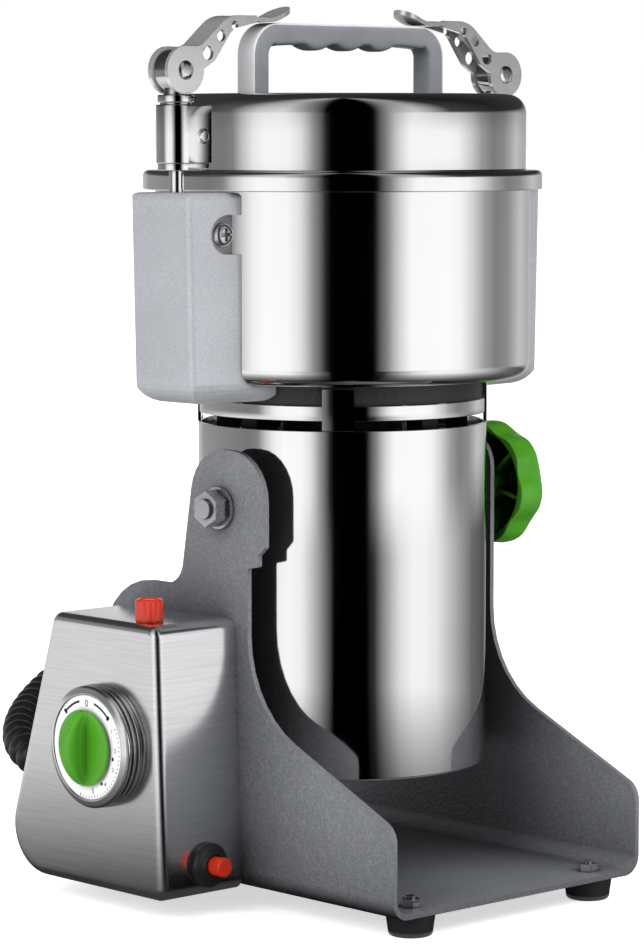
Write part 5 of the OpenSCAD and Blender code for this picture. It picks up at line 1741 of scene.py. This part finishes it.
@dataclass
class Clamp:
    """One lid clamp on its bracket: post, pressing block, collar, pin heads and screw.

    A plan here is a block's width and the distance of its bowed nose from the post.

    Attributes:
        side: 1 for the right clamp, -1 for the left.
        reach: The post's distance from the axis.
        pad: The pad's underside.
        pad_plan: The pad's plan.
        block: The block's underside and top.
        block_plan: The block's plan.
        collar: The collar's neck radius, its own radius and its height over the block.
        grub: The grub screw's place along X and Y, and how far it is under the block's top.
        grub_line: Its turned outline, as radius, height and corner radius.
        post_radius: The post's radius.
        post_foot: The height of its lower end.
        nut: The inner nut's radius over its corners, its underside and its thickness.
        rod_end: How far under the pin the rod ends, inside the eye.
        eye: The radius and half the width of the round eye on top.
        neck: The radii of the neck under the eye, at its foot and at its top.
        neck_from: How far over the block the neck starts.
        neck_to: How far under the pin it ends.
        pin: The pin's height.
        pin_line: Half of its turned outline, from the middle of its head, as radius, height and radius.
    """

    side: int
    reach: float = 90.6
    pad: float = 299.3
    pad_plan: tuple[float, float] = (15.0, 13.1)
    block: tuple[float, float] = (302.1, 325.3)
    block_plan: tuple[float, float] = (16.1, 14.2)
    collar: tuple[float, float, float] = (6.5, 7.4, 3.9)
    grub: tuple[float, float, float] = (-7.2, -8.05, 12.4)
    grub_line: Sequence[Corner] = (
        (0, 0.9, 0),
        (2.0, 0.9, 0.1),
        (2.3, 0.15, 0.1),
        (2.6, 0.15, 0.1),
        (3.1, -0.1, 0.1),
        (3.1, -0.6, 0),
        (0, -0.6, 0),
    )
    post_radius: float = 3.0
    post_foot: float = 258.0
    nut: tuple[float, float, float] = (5.77, 259.7, 5.0)
    rod_end: float = 6.0
    eye: tuple[float, float] = (8.2, 4.0)
    neck: tuple[float, float] = (5.2, 4.4)
    neck_from: float = 3.0
    neck_to: float = 5.0
    pin: float = 338.9
    pin_line: Sequence[Corner] = ((0, 6.6, 0), (2.4, 6.55, 0.6), (3.7, 5.9, 0.5))

    def hand(self, patches: Sequence[Patch]) -> list[Patch]:
        """Patches drawn for the right clamp, turned about to the left one where needed."""
        placed = moved(patches, Place((self.reach, 0, 0)))
        return placed if self.side > 0 else mirrored(placed)

    def plan(self, width: float, nose: float) -> np.ndarray:
        """The block's plan: half a circle outside, straight sides and a bowed nose towards the lid.

        Args:
            width: The block's width.
            nose: The radius of the nose.

        Returns:
            The points round it.
        """
        half = width / 2
        back = np.radians(np.linspace(-90, 90, 33))
        tip = math.asin(half / nose)
        front = np.linspace(math.pi - tip, math.pi + tip, 17)
        return np.concatenate(
            [
                np.stack([half * np.cos(back), half * np.sin(back)], -1),
                np.stack([nose * np.cos(front), nose * np.sin(front)], -1),
            ]
        )

    def pressing_block(self) -> list[Patch]:
        """The chrome block with softened rims, its pad below, its collar above and its grub screw.

        Returns:
            The block, the pad, the collar and the screw.
        """
        low, high = self.block
        body = soft_prism(self.plan(*self.block_plan), low, high, 0.5, 0.5)
        pad = soft_prism(self.plan(*self.pad_plan), self.pad, low + 0.1, 0.4, 0.1)
        neck, wide, tall = self.collar
        collar = [
            (0, high - 0.2, 0),
            (neck, high - 0.2, 0),
            (neck, high + 0.9, 0.2),
            (wide, high + 1.1, 0.3),
            (wide, high + tall, 0.5),
            (0, high + tall, 0),
        ]
        inward, out, under = self.grub
        place = Place((inward, out, high - under), (1, 0, 0), (0, 0, 1), (0, -1, 0))
        screw = lathe(rounded(self.grub_line), place, 48)
        return self.hand([body, pad, lathe(rounded(collar), sides=72), screw])

    def post(self) -> list[Patch]:
        """The post: its rod, its nut inside the bracket and the round eye that the lever straddles.

        Returns:
            The rod, the nut, the eye and the neck.
        """
        foot, radius = self.post_foot, self.post_radius
        end = self.pin - self.rod_end
        rod = [(0, foot, 0), (2.6, foot, 0.3), (radius, foot + 0.6, 0.2), (radius, end, 0), (0, end, 0)]
        across, low, thick = self.nut
        turn = np.radians(np.arange(6) * 60.0)
        hexagon = across * np.stack([np.cos(turn), np.sin(turn)], -1)
        nut = soft_prism(hexagon, low, low + thick, 0.3, 0.3, steps=2)
        wide, half = self.eye
        drum = [(0, -half, 0), (wide, -half, 0.5), (wide, half, 0.5), (0, half, 0)]
        eye = Place((0, 0, self.pin), (1, 0, 0), (0, 0, 1), (0, 1, 0))
        base, top = self.block[1] + self.neck_from, self.pin - self.neck_to
        neck = [(0, base, 0), (self.neck[0], base, 0), (self.neck[1], top, 0), (0, top, 0)]
        return self.hand(
            [
                lathe(rounded(rod), sides=48),
                nut,
                lathe(rounded(drum), eye, 72),
                lathe(rounded(neck), sides=48),
            ]
        )

    def pin_heads(self) -> list[Patch]:
        """The pin, with a domed head at either end.

        Returns:
            The pin as one patch.
        """
        along = Place((0, 0, self.pin), (1, 0, 0), (0, 0, 1), (0, 1, 0))
        near = [(radius, -height, bend) for radius, height, bend in self.pin_line]
        profile = rounded([*near, *reversed(self.pin_line)], steps=5)
        return self.hand([lathe(profile, along, 64)])

    def build(self) -> None:
        """Makes the clamp's round parts."""
        word = "right" if self.side > 0 else "left"
        body = Body.RIGHT_POST if self.side > 0 else Body.LEFT_POST
        for name, patches, node in (
            ("press_block", self.pressing_block(), "clamp_block"),
            ("post_rod", self.post(), "clamp_post"),
            ("pin_round", self.pin_heads(), "clamp_pin"),
        ):
            stands_for = [f"{node}_{word}"]
            Piece(f"{name}_{word}", patches, CLAMP_CHROME, body, stands_for, mirrored=False).build()


@dataclass
class CastingScrews:
    """The four cross-slot screws that hold the castings to the bowl.

    Attributes:
        reach: Their distance from the axis along X.
        seat: Their heads' seat along Y.
        height: Their height.
        head: The head's radius and height.
        slot: The cross slot's depth, half its width and half its length.
        shank: The shank's radius and length.
    """

    reach: float = 81.5
    seat: float = 16.8
    height: float = 274.0
    head: tuple[float, float] = (4.75, 3.0)
    slot: tuple[float, float, float] = (2.2, 0.72, 2.7)
    shank: tuple[float, float] = (2.5, 14.0)

    def one(self, place: Place) -> Patch:
        """A pan head with a cross slot: the dome less the slot's depth within half its width of X or Y.

        The dome's height is h (1 - (r / R)^4.5)^0.5. The slot's walls lean over 0.12 and its ends over 0.4.

        Args:
            place: The frame of its seat, with Z out of the casting.

        Returns:
            The head and the shank as one patch.
        """
        radius, tall = self.head
        deep, half, long = self.slot
        r = np.linspace(0, 1, 40) * radius
        a = np.linspace(0, 2 * math.pi, 144, endpoint=False)
        x, y = r[:, None] * np.cos(a + math.pi / 4), r[:, None] * np.sin(a + math.pi / 4)
        dome = tall * np.sqrt(np.clip(1 - (r[:, None] / radius / 1.005) ** 4.5, 0, 1)) + 0 * a
        arm = np.minimum(np.abs(x), np.abs(y))
        reach = np.maximum(np.abs(x), np.abs(y))
        slot = deep * np.clip((half - arm) / 0.12, 0, 1) * np.clip((long - reach) / 0.4, 0, 1)
        top = np.stack([x, y, dome - slot], -1)
        thin, down = self.shank
        stem = rounded([(radius, 0, 0), (thin, 0, 0), (thin, -down, 0.4), (0, -down, 0)])
        low = lathe(stem, sides=144).points
        return Patch(place.put(np.concatenate([top, low])))

    def build(self) -> None:
        """Makes the screws."""
        patches = []
        for side in (-1, 1):
            for front in (-1, 1):
                seat = (side * self.reach, front * self.seat, self.height)
                patches.append(self.one(Place(seat, (1, 0, 0), (0, 0, 1), (0, float(front), 0))))
        node = ["bracket_screws"]
        Piece("casting_screws", patches, ZINC, Body.HEAD, node, crease=40, mirrored=False).build()


@dataclass
class Hose:
    """The ribbed conduit from the box to the motor.

    Attributes:
        size: Its outer diameter.
        depth: The ribs' depth.
        pitch: The ribs' spacing.
        start: Its end at the box gland.
        start_way: The direction out of that gland.
        finish: Its end at the motor gland.
        finish_way: The direction out of that gland.
        swings: How far the loop swings out at either end, in diameters.
        sag: How far its own weight pulls the loop down behind the motor.
    """

    size: float = 15.2
    depth: float = 1.5
    pitch: float = 6.4
    start: np.ndarray = field(default_factory=lambda: np.array([-85.0, 86.291, 45.312]))
    start_way: np.ndarray = field(default_factory=lambda: np.array([0.0, 0.95319, 0.30237]))
    finish: np.ndarray = field(default_factory=lambda: np.array([15.216, 68.634, 115.0]))
    finish_way: np.ndarray = field(default_factory=lambda: np.array([0.21644, 0.97630, 0.0]))
    swings: tuple[float, float] = (2.95, 7.65)
    sag: float = 30.0

    def route(self) -> np.ndarray:
        """The route: straight out of each gland for one diameter, and a cubic curve between.

        Returns:
            The route's points.
        """
        d = self.size
        a, b = self.start + self.start_way * d, self.finish + self.finish_way * d
        t = np.linspace(0, 1, 200)[:, None]
        bend = (
            (1 - t) ** 3 * a
            + 3 * (1 - t) ** 2 * t * (a + self.start_way * d * self.swings[0])
            + 3 * (1 - t) * t**2 * (b + self.finish_way * d * self.swings[1] - np.array([0, 0, self.sag]))
            + t**3 * b
        )
        return np.concatenate([self.start[None], bend, self.finish[None]])

    def surface(self) -> Patch:
        """A ribbed tube: its radius along the route is r - depth (1 - |sin(pi s / pitch)|^0.7).

        Returns:
            The hose's surface.
        """
        route = self.route()
        marks = np.concatenate([[0], np.cumsum(np.linalg.norm(np.diff(route, axis=0), axis=1))])
        ribs = int(marks[-1] / self.pitch)
        s = np.linspace(0, marks[-1], ribs * 12 + 1)
        path = np.stack([np.interp(s, marks, route[:, k]) for k in range(3)], -1)
        wave = np.abs(np.sin(math.pi * s / marks[-1] * ribs)) ** 0.7
        radius = self.size / 2 - self.depth * (1 - wave)
        a = np.linspace(0, 2 * math.pi, 48, endpoint=False)
        circle = np.stack([np.cos(a), np.sin(a)], -1)
        side = np.cross(self.finish_way, self.finish - self.start)
        return tube(path, radius[:, None, None] * circle, side / np.linalg.norm(side))

    def build(self) -> None:
        """Makes the hose on no body, with its placement baked into its mesh."""
        hose = Piece("hose_ribbed", [self.surface()], HOSE_BLACK, None, ["conduit"], crease=70).build()
        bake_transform(hose)


# Studio


@dataclass(frozen=True)
class Lamp:
    """A square soft light that points at the mill's middle.

    Attributes:
        name: The light's name.
        place: Where it hangs, in metres.
        size: Its side, in metres.
        power: Its power, in watts.
    """

    name: str
    place: tuple[float, float, float]
    size: float
    power: float

    def hang(self, target: float) -> None:
        """Adds the light, turned to a height on the mill's axis.

        Args:
            target: That height.
        """
        data = bpy.data.lights.new(self.name, "AREA")
        data.shape, data.size, data.energy = "SQUARE", self.size, self.power
        lamp = bpy.data.objects.new(self.name, data)
        back = np.array(self.place) - np.array([0, 0, target])
        back /= np.linalg.norm(back)
        side = np.cross([0, 0, 1.0], back)
        side /= np.linalg.norm(side)
        up = np.cross(back, side)
        turned = np.column_stack([side, up, back, self.place]).tolist()
        lamp.matrix_world = Matrix(turned + [[0, 0, 0, 1]])
        lamp.visible_glossy = False
        bpy.context.scene.collection.objects.link(lamp)


@dataclass
class Studio:
    """The pale floor, the light tent, the lamps and the camera.

    Attributes:
        turn: The camera's azimuth from the mill's front, in degrees.
        pitch: How far it looks down, in degrees.
        distance: Its distance from the mill's axis, in metres.
        height: Its height, in metres.
        aside: How far its axis passes beside the mill's, in metres.
        lens: Its focal length in millimetres.
        lamps: The soft lights.
        middle: The height that the lamps point at, in metres.
        room_light: The room's brightness, as it lights the mill.
        floor_half: Half the floor's side, in metres.
        floor_glow: The floor's own light, as the camera and polished steel see it.
        tent_radius: The tent's radius, in metres.
        tent_low: The height of its lower edge, in metres.
        tent_top: The height of its ceiling, in metres.
        tent_floor_rings: The radii of its floor's rings, in metres.
        tent_wall_rings: The heights of its wall's rings, in metres.
        low_cloth: Its tones near the floor by bearing, in degrees from the camera towards its right.
        middle_cloth: Its tones at the bowl's height.
        high_cloth: Its tones above the lid.
        joins: The heights over which one cloth passes into the next, in metres.
        fading: How its brightness falls from the floor to the ceiling, by share of its height.
        close: How its brightness grows with the distance from the mill's foot, in metres.
    """

    turn: float = 42.92
    pitch: float = 5.372
    distance: float = 1.52116
    height: float = 0.3162
    aside: float = 0.00851
    lens: float = 139.60
    lamps: Sequence[Lamp] = (
        Lamp("key_light", (0.6, -1.7, 1.7), 1.2, 28.0),
        Lamp("side_light", (-1.8, -0.3, 1.2), 1.2, 26.0),
    )
    middle: float = 0.16
    room_light: float = 0.78
    floor_half: float = 40.0
    floor_glow: float = 0.62
    tent_radius: float = 0.56
    tent_low: float = 0.002
    tent_top: float = 1.1
    tent_floor_rings: tuple[float, float, float, float] = (0.001, 0.13, 0.3, 0.45)
    tent_wall_rings: tuple[float, float] = (0.3, 0.7)
    low_cloth: Sequence[tuple[float, float]] = (
        (-180, 0.75), (-160, 0.5), (-130, 0.6), (-105, 0.7), (-68, 0.7), (-51, 0.86), (-41, 0.93),
        (-31, 0.85), (-22, 0.48), (-12.5, 0.14), (-7, 0), (18, 0), (24, 0.03), (34, 0.35), (43, 0.7),
        (54, 0.9), (64, 0.9), (76, 0.8), (88, 0.56), (103, 0.33), (121, 0.14), (149, 0.07), (165, 0.3),
        (180, 0.75),
    )
    middle_cloth: Sequence[tuple[float, float]] = (
        (-180, 1), (-164, 0.6), (-140, 0.3), (-105, 0.24), (-76, 0.19), (-67, 0.23), (-61, 0.54),
        (-53, 0.88), (-45, 1), (-31, 0.97), (-24, 0.78), (-17, 0.3), (-10, 0.02), (-7, 0), (18, 0),
        (25, 0.23), (32, 0.67), (39, 0.98), (62, 1), (71, 0.95), (80, 0.68), (90, 0.35), (101, 0.21),
        (114, 0.27), (131, 0.54), (150, 0.4), (165, 0.5), (180, 1),
    )
    high_cloth: Sequence[tuple[float, float]] = (
        (-180, 0.05), (-100, 0.05), (-70, 0.1), (-50, 0.6), (-35, 0.7), (-22, 0.3), (-10, 0), (18, 0),
        (30, 0.4), (43, 0.6), (55, 0.3), (66, 0.05), (105, 0.02), (180, 0.05),
    )
    joins: Sequence[tuple[float, float]] = ((0.1, 0.15), (0.31, 0.4))
    fading: Sequence[tuple[float, float]] = ((0, 1), (0.27, 0.94), (0.41, 0.91), (0.64, 0.68), (1, 0.5))
    close: tuple[tuple[float, float], tuple[float, float]] = ((0.14, 0.5), (0.05, 1.1))

    def camera(self) -> None:
        """Places the camera at the photograph's viewing angle."""
        a, p = math.radians(self.turn), math.radians(self.pitch)
        right = np.array([math.cos(a), -math.sin(a), 0.0])
        ahead = np.array([math.sin(a), math.cos(a), 0.0])
        look = np.array([*(ahead[:2] * math.cos(p)), -math.sin(p)])
        up = np.array([*(ahead[:2] * math.sin(p)), math.cos(p)])
        place = -ahead * self.distance - right * self.aside + np.array([0, 0, self.height])
        data = bpy.data.cameras.new("photo_camera")
        data.lens, data.sensor_width, data.sensor_fit = self.lens, 36.0, "AUTO"
        data.clip_start, data.clip_end = 0.01, 100.0
        camera = bpy.data.objects.new("photo_camera", data)
        turned = np.column_stack([right, up, -look, place]).tolist()
        camera.matrix_world = Matrix(turned + [[0, 0, 0, 1]])
        bpy.context.scene.collection.objects.link(camera)
        bpy.context.scene.camera = camera

    def stand(self, name: str, mesh: bpy.types.Mesh, sheet: Sheet) -> bpy.types.Object:
        """Puts a finished mesh on the stage, apart from the mill.

        Args:
            name: The object's name.
            mesh: Its mesh.
            sheet: Its material's sheet.

        Returns:
            The object.
        """
        mesh.materials.append(sheet.material)
        item = bpy.data.objects.new(name, mesh)
        bpy.context.scene.collection.objects.link(item)
        return item

    def floor(self) -> None:
        """A wide pale floor that keeps the mill's shadow."""
        half = self.floor_half
        mesh = bpy.data.meshes.new("studio_floor")
        corners = [(-half, -half, 0), (half, -half, 0), (half, half, 0), (-half, half, 0)]
        mesh.from_pydata(corners, [], [(0, 1, 2, 3)])
        sheet = Sheet("floor_paper")
        sheet.set(Base_Color=(0.9, 0.9, 0.9, 1), Roughness=0.9)
        path = sheet.node("LightPath")
        rays = {0: path.outputs["Is Camera Ray"], 1: path.outputs["Is Glossy Ray"]}
        seen = sheet.node("Math", rays, operation="MAXIMUM").outputs[0]
        glow = sheet.node("Emission", {"Color": (1, 1, 1, 1), "Strength": self.floor_glow}).outputs[0]
        plain = sheet.node("Emission", {"Color": (1, 1, 1, 1), "Strength": 0.0}).outputs[0]
        picked = sheet.node("MixShader", {0: seen, 1: plain, 2: glow}).outputs[0]
        sheet.surface(sheet.node("AddShader", {0: sheet.shader.outputs[0], 1: picked}).outputs[0])
        self.stand("studio_floor", mesh, sheet)

    def tent_grid(self) -> Patch:
        """The tent's skin as rings round the axis: a disc on the floor, a wall and a flat ceiling.

        Returns:
            The skin's grid.
        """
        low, wide, top = self.tent_low, self.tent_radius, self.tent_top
        disc = [(radius, low) for radius in (*self.tent_floor_rings, wide)]
        wall = [(wide, height) for height in (*self.tent_wall_rings, top)]
        ceiling = [(self.tent_floor_rings[0], top)]
        return lathe(np.array(disc + wall + ceiling), sides=180)

    def bearing(self, sheet: Sheet, place: Socket) -> Socket:
        """The bearing of a place from the camera's side of the axis, as a share of a whole turn.

        It is atan2 of the place's parts along the camera's right and towards the camera.

        Args:
            sheet: The material's sheet.
            place: The socket that holds the place.

        Returns:
            The socket that holds the share.
        """
        split = sheet.node("SeparateXYZ", {0: place})
        a = math.radians(self.turn)
        parts = []
        for way in ((math.cos(a), -math.sin(a)), (-math.sin(a), -math.cos(a))):
            x = sheet.product(split.outputs[0], way[0])
            y = sheet.product(split.outputs[1], way[1])
            parts.append(sheet.sum_of(x, y))
        angle = sheet.node("Math", {0: parts[0], 1: parts[1]}, operation="ARCTAN2").outputs[0]
        return sheet.mapped(angle, (-math.pi, math.pi))

    def tent(self) -> None:
        """A round tent of light and dark cloth that only the polished steel sees.

        Its tone goes by bearing and height: dark where the camera stands, bright to either side, with
        three cloths one above the other.
        """
        patch = self.tent_grid()
        mesh = bpy.data.meshes.new("studio_tent")
        mesh.from_pydata(patch.points.reshape(-1, 3).tolist(), [], patch.faces(0).tolist())
        sheet = Sheet("tent_cloth")
        place = sheet.node("TexCoord").outputs["Object"]
        height = sheet.node("SeparateXYZ", {0: place}).outputs[2]
        share = self.bearing(sheet, place)
        cloths = [
            sheet.ramp(share, [((degrees + 180) / 360, grey(tone)) for degrees, tone in cloth])
            for cloth in (self.low_cloth, self.middle_cloth, self.high_cloth)
        ]
        tone = cloths[0]
        for above, join in zip(cloths[1:], self.joins):
            links = {0: sheet.mapped(height, join), 6: tone, 7: above}
            tone = sheet.node("Mix", links, data_type="RGBA").outputs[2]
        climb = sheet.product(height, 1 / self.tent_top)
        level = sheet.ramp(climb, [(share_up, grey(bright)) for share_up, bright in self.fading])
        away = sheet.node("VectorMath", {0: place}, operation="LENGTH").outputs["Value"]
        power = sheet.product(level, sheet.mapped(away, *self.close))
        sheet.surface(sheet.node("Emission", {"Color": tone, "Strength": power}).outputs[0])
        tent = self.stand("studio_tent", mesh, sheet)
        tent.visible_camera = tent.visible_diffuse = False
        tent.visible_shadow = tent.visible_transmission = False

    def world(self) -> None:
        """A white room that lights the mill softly from all round, and looks plain white itself."""
        world = bpy.data.worlds.new("studio_room")
        world.use_nodes = True
        tree = world.node_tree
        lighting = tree.nodes["Background"]
        backdrop = tree.nodes.new("ShaderNodeBackground")
        for shader, strength in ((lighting, self.room_light), (backdrop, 1.0)):
            shader.inputs["Color"].default_value = (1, 1, 1, 1)
            shader.inputs["Strength"].default_value = strength
        path = tree.nodes.new("ShaderNodeLightPath")
        seen = path.outputs["Is Camera Ray"]
        for ray in ("Is Glossy Ray", "Is Transmission Ray"):
            either = tree.nodes.new("ShaderNodeMath")
            either.operation = "MAXIMUM"
            tree.links.new(seen, either.inputs[0])
            tree.links.new(path.outputs[ray], either.inputs[1])
            seen = either.outputs[0]
        mix = tree.nodes.new("ShaderNodeMixShader")
        for i, source in enumerate((seen, lighting.outputs[0], backdrop.outputs[0])):
            tree.links.new(source, mix.inputs[i])
        tree.links.new(mix.outputs[0], tree.nodes["World Output"].inputs["Surface"])
        bpy.context.scene.world = world

    def build(self) -> None:
        """Sets the stage up."""
        bpy.context.scene.view_settings.view_transform = "Standard"
        self.camera()
        self.floor()
        self.tent()
        self.world()
        for lamp in self.lamps:
            lamp.hang(self.middle)
        LOG.info("studio: camera, floor, tent, room and %d lamps", len(self.lamps))


def dress_nodes(nodes: dict[str, bpy.types.Object]) -> None:
    """Gives every CAD node its finish.

    Args:
        nodes: The frame's nodes by name.
    """
    for name, node in nodes.items():
        finish = NODE_FINISHES[name]
        if not node.material_slots:
            node.data.materials.append(finish.material())
        for slot in node.material_slots:
            slot.material = finish.material()
        node.visible_glossy = name not in UNMIRRORED
        LOG.info("%s: %s", name, finish.name)


def main() -> None:
    """Builds the dressed mill."""
    logging.basicConfig(level=logging.INFO, format="%(name)s %(message)s")
    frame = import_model()
    Studio().build()
    dress_nodes(frame["nodes"])
    assemblies = (
        MotorHousing(),
        GrindingBowl(),
        ControlBox(),
        LockKnob(),
        Clamp(1),
        Clamp(-1),
        CastingScrews(),
        Hose(),
    )
    for assembly in assemblies:
        assembly.build()


if __name__ == "__main__":
    main()
